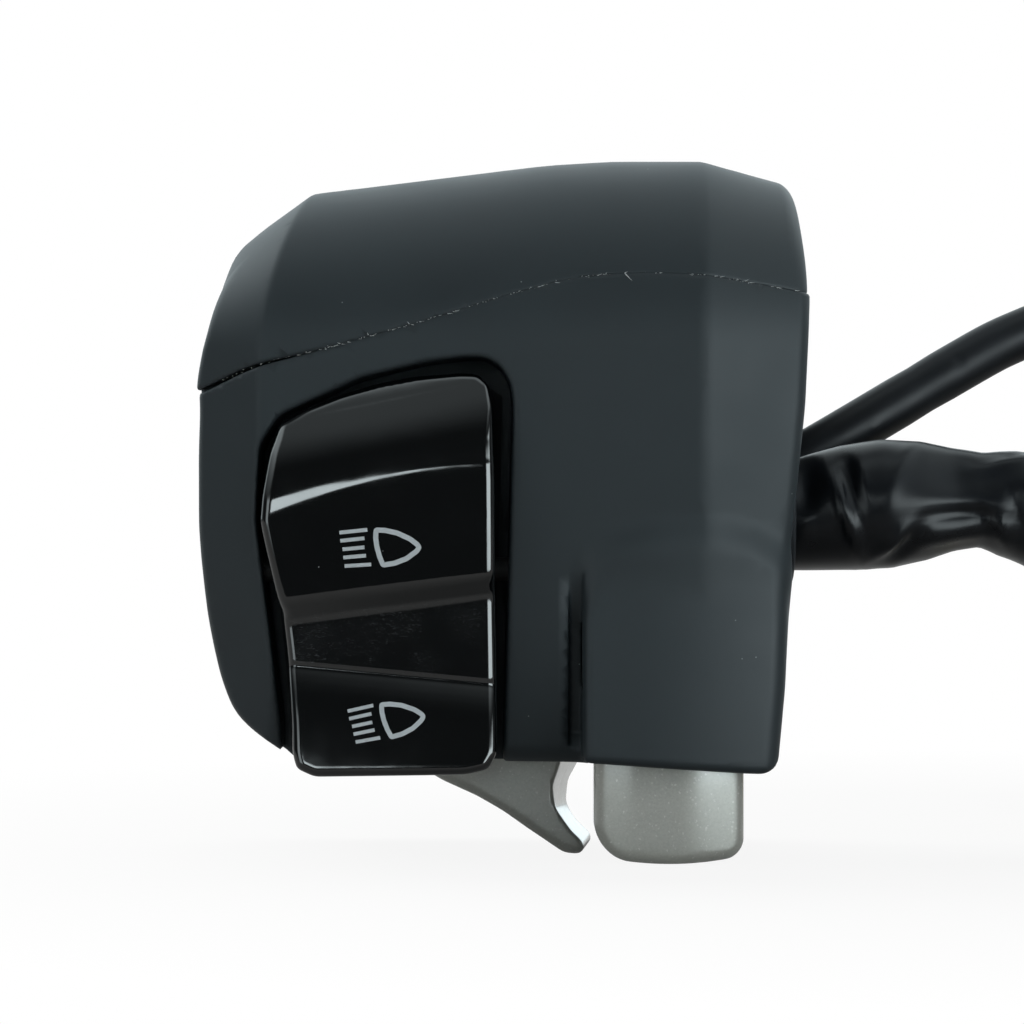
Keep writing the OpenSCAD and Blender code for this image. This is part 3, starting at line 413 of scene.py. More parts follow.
# Clutch switch lead: a slim round cable that climbs away behind the sleeve and drops to the table.
lead = {
    "exit": (29.2, 9.2, -14.6), "diameter": 5.5, "length": 133.0, "sides": 40, "step": 0.5, "soft": 1.6,
    "route": [(26.2, 9.2, -15.6), (29.2, 9.2, -14.6), (33, 9.7, -12.5), (38, 10.7, -9.6), (46.5, 13.2, -4.6),
              (53, 15.2, -0.9), (60, 17, 2.0), (67.5, 18.2, 2.6), (75, 18.6, 1.0), (81.5, 18, -3.2),
              (86.5, 16, -10), (90, 12.8, -18.5), (92.8, 8.6, -27.5), (96, 3.6, -36.5), (100.6, -2.2, -44.6),
              (107, -8.2, -50.2), (114.4, -13.4, -51.95), (118.4, -16.1, -51.95)],
    "radius": [(0, 2.72), (18, 2.75), (21, 2.68), (24, 2.76), (140, 2.75)],
    "folds": [(13.4, -20, 96, 0.35, 0.5, 0.14), (25.4, 8, 82, 0.3, 0.9, -0.16),
              (46, 30, 100, 0.4, 1.2, -0.14)]}
leadPath = softLine(lead["route"], lead["step"], lead["soft"])
leadTube = makeObject("clutchLead", *foldedTube(lead, leadPath), stock["cable"])
print("cords laid")


# Fields of distance in mm, below zero inside. Two meet in a rounded edge, or are joined by a fillet.
def roundMax(a, b, r):
    return np.minimum(np.maximum(a, b), -r) + np.hypot(np.maximum(a + r, 0), np.maximum(b + r, 0))


def roundMin(a, b, r):
    return -roundMax(-a, -b, r)


def cutAway(a, b, r):
    return roundMax(a, -b, r)


# Height of a line of straight runs over x, its corners eased over the soft length.
def runHeight(points, at, soft, reach=60, fine=0.05):
    along = np.arange(-reach, reach, fine)
    height = np.interp(along, *np.array(points, float).T)
    size = int(4 * soft / fine)
    height = np.convolve(np.pad(height, size, mode="edge"), bellWeights(size, fine, soft), "valid")
    return np.interp(at, along, height).astype(np.float32)


# Distance to a closed outline in a plane.
def outlineField(points, u, v):
    points = np.asarray(points, float)
    best = np.full(np.broadcast(u, v).shape, 1e9)
    inside = np.zeros(best.shape, bool)
    for a, b in zip(points, np.roll(points, -1, 0)):
        e = b - a
        part = np.clip(((u - a[0]) * e[0] + (v - a[1]) * e[1]) / max(e.dot(e), 1e-9), 0, 1)
        best = np.minimum(best, (u - a[0] - part * e[0]) ** 2 + (v - a[1] - part * e[1]) ** 2)
        if abs(e[1]) > 1e-9:
            inside ^= ((a[1] > v) != (b[1] > v)) & (u < a[0] + (v - a[1]) * e[0] / e[1])
    return np.where(inside, -np.sqrt(best), np.sqrt(best)).astype(np.float32)


def boxField(grid, low, high):
    sides = [np.maximum(low[k] - grid[k], grid[k] - high[k]) for k in range(3)]
    return np.maximum(np.maximum(sides[0], sides[1]), sides[2])


def makeGrid(low, high, step):
    axes = [np.arange(low[k], high[k] + step, step, dtype=np.float32) for k in range(3)]
    return axes[0][:, None, None], axes[1][None, :, None], axes[2][None, None, :]


# Skin of a field, with its shading normals taken from the slope of the field.
def meshField(name, field, low, step, saving, material, turn=0.0, shift=(0, 0, 0), band=2.5):
    field = np.ascontiguousarray(np.clip(field, -band, band), np.float32)
    grid = vdb.FloatGrid(band)
    grid.copyFromArray(field)
    spots, tris, quads = grid.convertToPolygons(isovalue=0.0, adaptivity=saving)
    slopes = np.stack(np.gradient(field), -1)
    spots = np.asarray(spots, float)
    base = np.clip(np.floor(spots).astype(int), 0, np.array(field.shape) - 2)
    part = spots - base
    normals = np.zeros_like(spots)
    for corner in np.ndindex(2, 2, 2):
        weight = np.prod(np.where(corner, part, 1 - part), axis=1)
        normals += slopes[tuple((base + corner).T)] * weight[:, None]
    normals /= np.maximum(np.linalg.norm(normals, axis=1), 1e-9)[:, None]
    spin = np.array([[math.cos(turn), -math.sin(turn), 0], [math.sin(turn), math.cos(turn), 0], [0, 0, 1]])
    normals = normals @ spin.T
    places = ((spots * step + np.asarray(low, float)) @ spin.T + np.asarray(shift, float)) * mm
    faces = [f[::-1] for f in tris.tolist()] + [f[::-1] for f in quads.tolist()]
    a, b, c = (places[[f[k] for f in faces]] for k in range(3))
    if np.einsum("ij,ij->i", np.cross(b - a, c - a), normals[[f[0] for f in faces]]).sum() < 0:
        faces = [f[::-1] for f in faces]
    mesh = bpy.data.meshes.new(name)
    mesh.from_pydata(places.tolist(), [], faces)
    mesh.shade_smooth()
    mesh.normals_split_custom_set_from_vertices(normals.tolist())
    mesh.materials.append(material)
    print(name, "has", len(tris) + 2 * len(quads), "triangles")
    return linkObject(name, mesh)


def fieldPiece(name, maker, values, material, turn=0.0, shift=(0, 0, 0)):
    field = maker(makeGrid(values["low"], values["high"], values["step"]))
    return meshField(name, field, values["low"], values["step"], values["saving"], material, turn, shift)


# Housing: heights and setbacks along the bar, outlines of both ends, the split line, the openings, the
# lengths over which each line is eased, and the edge radii.
housing = {
    "low": (-34.5, -24.5, -48.5), "high": (33.0, 22.5, 19.5), "step": 0.25, "saving": 0.008,
    "upperLow": -11.5, "lowerHigh": 8.5, "coverLow": 12.5, "coverHigh": -12.5,
    "crown": [(-40, 11.8), (-20.8, 14.2), (3.6, 17.2), (10.5, 17.62), (19.8, 17.62), (29.6, 14.95),
              (34, 13.8)],
    "face": [(-40, -20.3), (-20.8, -20.4), (3.6, -20.6), (19.6, -20.55), (30.4, -16.9), (34, -15.7)],
    "back": [(-40, 20), (-20.8, 20), (19.8, 20), (29.6, 17), (34, 15.7)],
    "base": [(-40, -44), (-20.8, -44.7), (-4, -44.5), (6, -44.6), (19.8, -45.4), (29.6, -45.3), (34, -45)],
    "mid": -2.8, "lean": 4.5, "leanMost": 1.15, "backLean": 3.0,
    "leftEnd": [(-48, -20.0), (-44.9, -21.7), (-43.4, -23.1), (-41.9, -25.6), (-40.3, -27.6), (-38.8, -28.6),
                (-35.8, -29.7), (-32.7, -30.4), (-29.7, -30.95), (-26.6, -31.3), (-23.6, -31.6),
                (-20.5, -31.8), (-12.9, -31.75), (-9, -31.6), (-7.5, -31.65), (-6.75, -31.75), (-5.2, -31.55),
                (-3.7, -31.25), (-2.2, -30.95), (0.2, -30.5), (2.3, -30.15), (4.5, -29.65), (6.6, -29.1),
                (8.7, -28.3), (10.8, -27.35), (13.0, -26.2), (16.0, -24.0)],
    "crease": [(-50, -25.6), (-38, -24.5), (-33, -24.4), (-28, -24.9), (-24, -25.2), (-10, -25.4),
               (-1.5, -25.2), (2.5, -24.6), (5.8, -23.8), (11.1, -22.2), (14.3, -20.6), (18, -19.0)],
    "taper": 0.64, "creaseRound": 0.2, "endRound": 0.6, "endSlope": 0.9, "baseRound": 2.0,
    "rightUpper": [(-60, 29.9), (2, 29.95), (4.0, 30.0), (6.3, 29.9), (12.6, 29.4), (18, 28.7)],
    "rightLower": [(-50, 26.3), (-37, 27.6), (-31, 27.9), (-25, 28.0), (-8.4, 29.7), (3, 30.25), (10, 30.3)],
    "upperOver": 0.25, "rightRound": 1.3, "endHalf": 18.0, "endBowLeast": 0.5,
    "split": [(-40, -9.5), (-31.2, -7), (-26.5, -4.7), (-19.2, -3), (-9.2, -0.2), (0, 2.7), (6, 4.3),
              (10.8, 4.8), (18.8, 4.7), (29.6, 3), (40, 0.5)],
    "splitGap": [(-40, 0.44), (-27, 0.4), (-21, 0.1), (-18, -0.16), (40, -0.16)],
    "splitBack": -13.0, "splitBlend": 0.5, "backGap": 0.2, "seamRound": 0.06, "barRadius": 11.1,
    "boss": [(7.05, -44.3), (7.05, -26.5), (7.9, -23.6), (10, -21.6), (14, -20.5), (20.5, -20.2),
             (24.6, -21.4), (28.4, -24.2), (30.5, -25.4), (30.5, -45.6), (24, -45.5)],
    "bossEase": (0.25, 0.5), "bossFront": [(-46.0, -21.3), (-20.0, -19.75)], "bossCurve": (13.0, 0.011),
    "bossRound": (0.9, 2.6), "bossFillet": (0.6, 2.2), "bossTop": (-30, -23.5), "bossRight": 1.8,
    "bossBack": -9.0, "bossHigh": 2.0,
    "grooveX": 6.4, "grooveHalf": 0.65,
    "grooveDepth": [(-43.6, -0.4), (-41.6, 1.3), (-31, 1.3), (-24.5, -0.4)],
    "pocket": [(-22.9, -52), (-23.4, -40), (-25.7, -20), (-25.3, -12.6), (-23.4, -9.5), (-15.2, -5.7),
               (-8.6, -4.1), (-4.4, -3.6), (-2.6, -3.7), (-1.1, -4.6), (-0.1, -6.4), (0.1, -8.4),
               (-1.1, -52)],
    "pocketEase": (0.3, 0.5), "pocketFloor": -11.0, "pocketRound": 0.35,
    "cavity": [(-29.5, -13.5), (-30, -24), (-28.2, -33), (-25, -41.4), (-21, -42.7), (24.8, -43.6),
               (27, -13.5)],
    "cavityFront": -9.5, "coverY": 13.5, "coverZ": -14.5, "coverGap": 0.14, "coverRound": 0.35,
    "guide": ((8.1, -18.65, -60), (23.65, -10.8, -32.7)), "chamber": ((7.1, -17.6, -37), (24.5, -8.5, -14)),
    "slot": ((-11.8, -6.6, -60), (11.8, 6.6, -41.2)), "window": ((-18.5, -12, -31), (-10.5, -9, -19)),
    "clampAt": [(-17, 14.8), (15, 14.8)], "clampSeat": 4.2, "clampBore": 3.8, "clampHole": 2.3,
    "coverAt": [(-24.9, -20), (-24, -38), (24, -31), (21.5, -41)], "coverSeat": 15.7, "coverBore": 2.93,
    "coverHole": 1.7, "sleeveHole": (-3.0, -19.9, 6.87), "leadHole": (9.2, -15.1, 3.62), "holesFrom": 22.0,
    "soft": {"crown": 0.35, "face": 0.35, "back": 0.35, "base": 1.5, "crease": 1.5, "leftEnd": 0.8,
             "rightUpper": 0.6, "rightLower": 0.6, "split": 1.6, "splitGap": 0.6, "bossFront": 0.5},
    "rounds": {"bar": 0.4, "clampSeat": 0.35, "clampHole": 0.15, "groove": 0.3, "cavity": 0.2, "chamber": 0.1,
               "guide": 0.3, "slot": 0.4, "window": 0.2, "hole": 0.25, "coverSeat": 0.3, "coverHole": 0.1}}


def housingLine(key, at):
    return runHeight(housing[key], at, housing["soft"][key])


def bodyField(grid, upper):
    x, y, z = grid
    mid, taper = housing["mid"], housing["taper"]
    crown, face, back, base = (housingLine(key, x) for key in ("crown", "face", "back", "base"))
    share = np.clip((mid - z) / (mid - base), 0, housing["leanMost"])
    front = face + housing["lean"] * share ** 2 - y
    rear = y - back + housing["backLean"] * share
    centre, half, rise = (face + back) / 2, (back - face) / 2, crown - mid
    u, v = (y - centre) / half, np.maximum(z - mid, 0) / rise
    radial = np.sqrt(u * u + v * v) + 1e-6
    dome = (radial - 1) * radial / np.sqrt((u / half) ** 2 + (v / rise) ** 2 + 1e-9)
    barrel = np.where(z > mid, dome, np.maximum(front, rear))
    body = roundMax(barrel, base - z, housing["baseRound"])
    around = np.where(z > mid, mid + rise * v / radial, z)
    cone = (barrel + (housingLine("crease", around) - x) * taper) / math.hypot(1, taper)
    body = roundMax(body, cone, housing["creaseRound"])
    bowed = np.sqrt(np.maximum(1 - (y / housing["endHalf"]) ** 2, housing["endBowLeast"]))
    high = np.where(z > mid, mid + (z - mid) / bowed, z)
    end = housingLine("leftEnd", high) - (housing["upperOver"] if upper else 0.0)
    body = roundMax(body, (end - x) * housing["endSlope"], housing["endRound"])
    right = housingLine("rightUpper" if upper else "rightLower", z)
    return roundMax(body, x - right, housing["rightRound"])


# Height over the split line, and the gap there. The line curves along the rider's face and is level behind.
def splitField(grid):
    x, y, z = grid
    line, gap = (housingLine(key, x) for key in ("split", "splitGap"))
    deep = np.clip((y - housing["splitBack"]) / housing["splitBlend"] + 0.5, 0, 1)
    return z - line * (1 - deep), gap * (1 - deep) + housing["backGap"] * deep


def barrelX(grid, r, y, z):
    return np.hypot(grid[1] - y, grid[2] - z) - r


# Upper shell: dome, bar bore, the two clamp screw seats.
def upperField(grid):
    x, y, z = grid
    rounds = housing["rounds"]
    over, gap = splitField(grid)
    field = roundMax(bodyField(grid, True), gap / 2 - over, housing["seamRound"])
    field = cutAway(field, barrelX(grid, housing["barRadius"], 0, 0), rounds["bar"])
    for px, py in housing["clampAt"]:
        bore = np.hypot(x - px, y - py)
        seat = np.maximum(bore - housing["clampBore"], housing["clampSeat"] - z)
        field = cutAway(field, seat, rounds["clampSeat"])
        field = cutAway(field, bore - housing["clampHole"], rounds["clampHole"])
    return field


# Lower shell: housing of the switches, with the boss, its groove, the rocker pocket and every opening.
def lowerField(grid):
    x, y, z = grid
    rounds = housing["rounds"]
    over, gap = splitField(grid)
    body = bodyField(grid, False)
    start, bow = housing["bossCurve"]
    front = housingLine("bossFront", z) + bow * np.maximum(x - start, 0) ** 2
    side = outlineField(softLine(housing["boss"], *housing["bossEase"], True), x, z)
    edge, fillet = (np.interp(z, housing["bossTop"], housing[key]).astype(np.float32)
                    for key in ("bossRound", "bossFillet"))
    boss = roundMax(front - y, side, edge)
    boss = roundMax(boss, x - housingLine("rightLower", z), housing["bossRight"])
    boss = np.maximum(boss, np.maximum(y - housing["bossBack"], z - housing["bossHigh"]))
    field = roundMin(body, boss, fillet)
    deep = np.interp(z, *np.array(housing["grooveDepth"], float).T).astype(np.float32)
    groove = np.maximum(np.abs(x - housing["grooveX"]) - housing["grooveHalf"], -body - deep)
    field = cutAway(field, groove, rounds["groove"])
    field = roundMax(field, over + gap / 2, housing["seamRound"])
    slack = housing["coverGap"] / 2
    cover = np.maximum(housing["coverY"] - slack - y, z - housing["coverZ"] - slack)
    field = cutAway(field, cover, housing["coverRound"])
    field = cutAway(field, barrelX(grid, housing["barRadius"], 0, 0), rounds["bar"])
    pocket = outlineField(softLine(housing["pocket"], *housing["pocketEase"], True), x, z)
    field = cutAway(field, np.maximum(pocket, y - housing["pocketFloor"]), housing["pocketRound"])
    cavity = np.maximum(outlineField(housing["cavity"], x, z), housing["cavityFront"] - y)
    field = cutAway(field, cavity, rounds["cavity"])
    for opening in ("chamber", "guide", "slot", "window"):
        field = cutAway(field, boxField(grid, *housing[opening]), rounds[opening])
    for py, pz, r in (housing["sleeveHole"], housing["leadHole"]):
        field = cutAway(field, np.maximum(barrelX(grid, r, py, pz), housing["holesFrom"] - x), rounds["hole"])
    return field


# Back cover: the rear face of the housing below the bar, with four sunk screw seats.
def coverField(grid):
    x, y, z = grid
    rounds = housing["rounds"]
    slack = housing["coverGap"] / 2
    space = np.maximum(housing["coverY"] + slack - y, z - housing["coverZ"] + slack)
    field = roundMax(bodyField(grid, False), space, housing["coverRound"])
    for px, pz in housing["coverAt"]:
        bore = np.hypot(x - px, z - pz)
        seat = np.maximum(bore - housing["coverBore"], housing["coverSeat"] - y)
        field = cutAway(field, seat, rounds["coverSeat"])
        field = cutAway(field, bore - housing["coverHole"], rounds["coverHole"])
    return field


left, front, floor = housing["low"]
right, rear, crest = housing["high"]
shells = {}
for name, node, maker, low, high in (
        ("upperShell", "upper_shell", upperField, (left, front, housing["upperLow"]), (right, rear, crest)),
        ("lowerShell", "lower_shell", lowerField, (left, front, floor), (right, rear, housing["lowerHigh"])),
        ("backCover", "back_cover", coverField, (left, housing["coverLow"], floor),
         (right, rear, housing["coverHigh"]))):
    shells[name] = fieldPiece(name, maker, {**housing, "low": low, "high": high}, stock["shell"])
    standIn(shells[name], "housing", node)
print("shells skinned")

# Rocker: its outline, the rows of its face (height on the left, height on the right, depth) between the upper
# slope and the lower pad, the dust in the valley between them, and the hub and drive stem behind.
rocker = {
    "low": (-26.4, -25.4, -47.2), "high": (-0.4, -0.8, -3.6), "step": 0.185, "saving": 0.0,
    "outline": [(-23.2, -10.4), (-20.7, -8.95), (-17.0, -7.4), (-13.3, -6.3), (-9.6, -5.6), (-5.2, -5.3),
                (-3.4, -5.4), (-2.4, -6.4), (-2.0, -8.6), (-1.75, -16.0), (-1.7, -26.0), (-1.55, -36.0),
                (-1.5, -43.2), (-2.4, -44.8), (-4.6, -45.3), (-19.6, -45.5), (-21.4, -44.7), (-21.8, -43.2),
                (-21.9, -40.0), (-22.4, -33.4), (-22.9, -29.2), (-23.6, -26.6), (-24.6, -22.2),
                (-25.0, -20.2), (-24.8, -17.6), (-24.1, -13.2)],
    "outlineEase": (0.2, 0.35),
    "slope": ((-8.8, -4.2), (-18.1, -14.1), (0.8, 0.13), -23.86, 1.6),
    "rows": [(-19.3, -14.4, -23.94), (-19.9, -15.0, -23.94), (-24.0, -20.6, -23.7), (-28.2, -25.4, -23.35),
             (-28.8, -26.0, -23.0), (-29.6, -26.8, -22.3), (-30.1, -27.3, -21.9), (-30.8, -28.2, -21.8),
             (-34.0, -36.1, -21.8)],
    "pad": ((-34.2, -36.35), (-46.5, -46.5), (0.43, 0.16), -24.2, 3.0),
    "bow": (1.1, (-28, -17, -8)),
    "rowStep": 0.1, "rowSoft": 0.22, "span": (-24.0, -2.0), "edge": 0.9, "topEdge": 0.5,
    "edgeTurn": (-12, -9), "back": -14.2, "hub": (-15.0, -25.0, 2.6, -22.0, -3.0), "join": 0.3,
    "stem": ((-16.5, -15, -26.1), (-12.5, -3.9, -23.9)), "tip": (-3.4, 1.5),
    "dustTop": (-29.9, -27.1), "dustFoot": (-34.2, -36.3), "dustBlend": 0.7, "dustFront": -20.0,
    "dustLeft": ((0.1, 0.5, 0.8), (1.0, 0.8, 0.3))}


# Rows of a face that turns from one slope to another, at first faster, down to a given depth.
def turningRows(top, foot, slopes, depth, rate, count=16):
    t = np.linspace(0, 1, count)
    turned = (slopes[0] - slopes[1]) * (1 - (1 - t) ** (rate + 1)) / (rate + 1)
    fall = (slopes[1] * t + turned) * (np.mean(top) - np.mean(foot))
    ends = [a + (b - a) * t for a, b in zip(top, foot)]
    return np.stack([ends[0], ends[1], depth + fall[-1] - fall], 1)


def rockerField(grid):
    x, y, z = grid
    rows = np.vstack([turningRows(*rocker["slope"]), rocker["rows"], turningRows(*rocker["pad"])])
    left, right, depth = softLine(rows, rocker["rowStep"], rocker["rowSoft"]).T
    lift = rocker["bow"][0] * np.interp((left + right) / 2, rocker["bow"][1], (0, 1, 0))
    first, last = rocker["span"]
    face = [np.interp(z.ravel(), (left * (1 - s) + right * s + lift * 4 * s * (1 - s))[::-1], depth[::-1])
            for s in np.clip((x.ravel() - first) / (last - first), 0, 1)]
    face = np.stack(face).astype(np.float32)
    steep = np.sqrt(1 + sum(g * g for g in np.gradient(face, rocker["step"])))
    field = (face[:, None] - y) / steep[:, None]
    edge = outlineField(softLine(rocker["outline"], *rocker["outlineEase"], True), x, z)
    rim = np.interp(z, rocker["edgeTurn"], (rocker["edge"], rocker["topEdge"])).astype(np.float32)
    field = np.maximum(roundMax(field, edge, rim), y - rocker["back"])
    py, pz, r, start, end = rocker["hub"]
    hub = np.maximum(barrelX(grid, r, py, pz), np.maximum(start - x, x - end))
    field = roundMin(field, hub, rocker["join"])
    low, high = rocker["stem"]
    py, r = rocker["tip"]
    tip = np.maximum(barrelX(grid, r, py, pz), np.maximum(low[0] - x, x - high[0]))
    return roundMin(field, roundMin(boxField(grid, low, high), tip, rocker["join"]), rocker["join"])


# Dust in the valley, thinner towards the right, as an attribute that the finish reads.
def settleDust(piece):
    spots = np.zeros(len(piece.data.vertices) * 3, np.float32)
    piece.data.vertices.foreach_get("co", spots)
    spots = spots.reshape(-1, 3) / mm
    first, last = rocker["span"]
    share = (spots[:, 0] - first) / (last - first)
    above = rocker["dustTop"][0] * (1 - share) + rocker["dustTop"][1] * share - spots[:, 2]
    under = spots[:, 2] - rocker["dustFoot"][0] * (1 - share) - rocker["dustFoot"][1] * share
    dust = np.clip(np.minimum(above, under) / rocker["dustBlend"] + 0.5, 0, 1)
    dust *= (spots[:, 1] < rocker["dustFront"]) * np.interp(share, *rocker["dustLeft"])
    piece.data.attributes.new("dust", "FLOAT", "POINT").data.foreach_set("value", dust.astype(np.float32))


beamRocker = fieldPiece("beamRocker", rockerField, rocker, stock["gloss"])
settleDust(beamRocker)
standIn(beamRocker, "beam_rocker", "beam_rocker")
print("rocker made")


def startTree(name, inputs):
    tree = bpy.data.node_groups.new(name, "GeometryNodeTree")
    tree.interface.new_socket("Geometry", in_out="INPUT", socket_type="NodeSocketGeometry")
    for label, kind in inputs:
        tree.interface.new_socket(label, in_out="INPUT", socket_type="NodeSocket" + kind)
    tree.interface.new_socket("Geometry", in_out="OUTPUT", socket_type="NodeSocketGeometry")
    return tree, tree.nodes.new("NodeGroupInput").outputs


def endTree(tree, instances, material):
    real = addNode(tree, "GeometryNodeRealizeInstances", None, {0: instances})
    painted = addNode(tree, "GeometryNodeSetMaterial", None,
                      {"Geometry": real.outputs[0], "Material": material})
    addNode(tree, "NodeGroupOutput", None, {0: painted.outputs[0]})
    return tree


def runTree(obj, tree, values):
    modifier = obj.modifiers.new(tree.name, "NODES")
    modifier.node_group = tree
    for item in tree.interface.items_tree:
        if item.item_type == "SOCKET" and item.in_out == "INPUT" and item.name in values:
            modifier[item.identifier] = values[item.name]
    graph = bpy.context.evaluated_depsgraph_get()
    mesh = bpy.data.meshes.new_from_object(obj.evaluated_get(graph))
    obj.modifiers.clear()
    obj.data = mesh
    return obj


# Copies of one piece on points, all turned the same way.
def copiesTree():
    tree, given = startTree("place copies", [("Piece", "Object"), ("Turn", "Rotation"),
                                             ("Material", "Material")])
    piece = addNode(tree, "GeometryNodeObjectInfo", None, {"Object": given["Piece"]})
    copies = addNode(tree, "GeometryNodeInstanceOnPoints", None,
                     {"Points": given["Geometry"], "Instance": piece.outputs["Geometry"],
                      "Rotation": given["Turn"]})
    return endTree(tree, copies.outputs[0], given["Material"])


# Flat bars on points, each as long and as tilted as its point says.
def barsTree():
    tree, given = startTree("print bars", [("Thickness", "Float"), ("Material", "Material")])
    long = addNode(tree, "GeometryNodeInputNamedAttribute", {"data_type": "FLOAT", "Name": "barLength"})
    turn = addNode(tree, "GeometryNodeInputNamedAttribute", {"data_type": "FLOAT_VECTOR", "Name": "barTurn"})
    size = addNode(tree, "ShaderNodeCombineXYZ", {2: 1.0}, {0: long.outputs[0], 1: given["Thickness"]})
    bar = addNode(tree, "GeometryNodeMeshGrid",
                  {"Size X": 1.0, "Size Y": 1.0, "Vertices X": 16, "Vertices Y": 4})
    bars = addNode(tree, "GeometryNodeInstanceOnPoints", None,
                   {"Points": given["Geometry"], "Instance": bar.outputs[0], "Rotation": turn.outputs[0],
                    "Scale": size.outputs[0]})
    return endTree(tree, bars.outputs[0], given["Material"])


# Torn burrs and lint along a line, thinned out, turned and sized at random.
def burrTree():
    tree, given = startTree("seam burrs", [("Count", "Int"), ("Seed", "Int"), ("Length", "Float"),
                                           ("Slender", "Float"), ("Stray", "Float"), ("Least Turn", "Vector"),
                                           ("Most Turn", "Vector"), ("Material", "Material")])
    line = addNode(tree, "GeometryNodeMeshToCurve", None, {0: given["Geometry"]})
    dots = addNode(tree, "GeometryNodeResampleCurve", None,
                   {"Curve": line.outputs[0], "Count": given["Count"]})
    turn = addNode(tree, "FunctionNodeRandomValue", {"data_type": "FLOAT_VECTOR"},
                   {0: given["Least Turn"], 1: given["Most Turn"], "Seed": given["Seed"]})
    grow = addNode(tree, "FunctionNodeRandomValue", {"data_type": "FLOAT", 2: 0.25, 3: 1.0},
                   {"Seed": given["Seed"]})
    keep = addNode(tree, "FunctionNodeRandomValue", {"data_type": "BOOLEAN", "Probability": 0.45},
                   {"Seed": given["Seed"]})
    drift = addNode(tree, "FunctionNodeRandomValue",
                    {"data_type": "FLOAT_VECTOR", 0: (-1, -0.1, -1), 1: (1, 0.1, 1)}, {"Seed": given["Seed"]})
    off = addNode(tree, "ShaderNodeVectorMath", {"operation": "SCALE"},
                  {0: drift.outputs[0], "Scale": given["Stray"]})
    moved = addNode(tree, "GeometryNodeSetPosition", None,
                    {"Geometry": dots.outputs[0], "Offset": off.outputs[0]})
    thin = addNode(tree, "ShaderNodeMath", {"operation": "MULTIPLY"},
                   {0: given["Length"], 1: given["Slender"]})
    shred = addNode(tree, "GeometryNodeMeshCone", {"Vertices": 5, "Radius Top": 0.0},
                    {"Radius Bottom": thin.outputs[0], "Depth": given["Length"]})
    burrs = addNode(tree, "GeometryNodeInstanceOnPoints", None,
                    {"Points": moved.outputs[0], "Instance": shred.outputs[0], "Selection": keep.outputs[3],
                     "Rotation": turn.outputs[0], "Scale": grow.outputs[1]})
    return endTree(tree, burrs.outputs[0], given["Material"])


trees = {"copies": copiesTree(), "bars": barsTree(), "burrs": burrTree()}

# Main beam signs: five bars and a lamp outline printed on the upper and the lower pad.
signs = {
    "bars": [(-4.16, 1.45, -1.40, 1.74), (-4.08, 0.64, -1.68, 0.90), (-3.85, -0.20, -1.68, 0.0),
             (-3.78, -1.02, -1.53, -0.82), (-3.65, -1.86, -1.02, -1.70)],
    "lamp": [(-0.52, 1.72), (0.35, 1.68), (1.55, 1.42), (2.85, 0.82), (3.55, 0.28), (3.74, 0.0),
             (3.52, -0.36), (2.5, -1.12), (1.3, -1.58), (0.16, -1.76), (-0.18, -0.95), (-0.46, 0.1),
             (-0.57, 0.95)],
    "lampEase": (0.08, 0.09), "tracks": 4, "barThick": 0.37, "stroke": 0.5, "proud": 0.03, "castFrom": -60.0,
    "places": [("upperSign", -12.95, -22.7, 0.0, 1.0), ("lowerSign", -12.3, -39.9, 6.5, 0.94)]}


# A sign drawn in front of the rocker and laid on its face along the line of sight.
def printedSign(name, x, z, tilt, scale, target):
    c, s = math.cos(math.radians(tilt)) * scale, math.sin(math.radians(tilt)) * scale

    def place(p):
        return x + p[0] * c - p[1] * s, signs["castFrom"], z + p[0] * s + p[1] * c

    ends = [(place(b[:2]), place(b[2:])) for b in signs["bars"]]
    middles = [tuple((p + q) / 2 for p, q in zip(a, b)) for a, b in ends]
    piece = makeObject(name, middles, [], stock["print"])
    lengths = [math.dist(a, b) * mm for a, b in ends]
    turns = [(math.pi / 2, -math.atan2(b[2] - a[2], b[0] - a[0]), 0.0) for a, b in ends]
    piece.data.attributes.new("barLength", "FLOAT", "POINT").data.foreach_set("value", lengths)
    piece.data.attributes.new("barTurn", "FLOAT_VECTOR", "POINT").data.foreach_set("vector", np.ravel(turns))
    runTree(piece, trees["bars"], {"Thickness": signs["barThick"] * scale * mm, "Material": stock["print"]})
    line = softLine(signs["lamp"], *signs["lampEase"], True)
    along = np.roll(line, -1, 0) - np.roll(line, 1, 0)
    out = np.stack([along[:, 1], -along[:, 0]], 1) / np.linalg.norm(along, axis=1)[:, None]
    last = signs["tracks"] - 1
    tracks = [line + out * signs["stroke"] * (k / last - 0.5) for k in range(signs["tracks"])]
    points, faces = ringSkin([[place(p) for p in track] for track in tracks], False)
    bm = bmesh.new()
    bm.from_mesh(piece.data)
    corners = [bm.verts.new(Vector(p) * mm) for p in points]
    for f in faces:
        bm.faces.new([corners[k] for k in f])
    for vert in bm.verts:
        start = Vector((vert.co.x, signs["castFrom"] * mm, vert.co.z))
        vert.co.y = target.ray_cast(start, Vector((0, 1, 0)))[0].y - signs["proud"] * mm
    for face in bm.faces:
        face.smooth = True
        face.material_index = 0
        face.normal_update()
        if face.normal.y > 0:
            face.normal_flip()
    bm.to_mesh(piece.data)
    bm.free()
    piece.data.materials.clear()
    piece.data.materials.append(stock["print"])
    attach(piece, "beam_rocker")
    return piece


rockerTree = BVHTree.FromObject(beamRocker, bpy.context.evaluated_depsgraph_get())
for name, x, z, tilt, scale in signs["places"]:
    printedSign(name, x, z, tilt, scale, rockerTree)
print("signs printed")

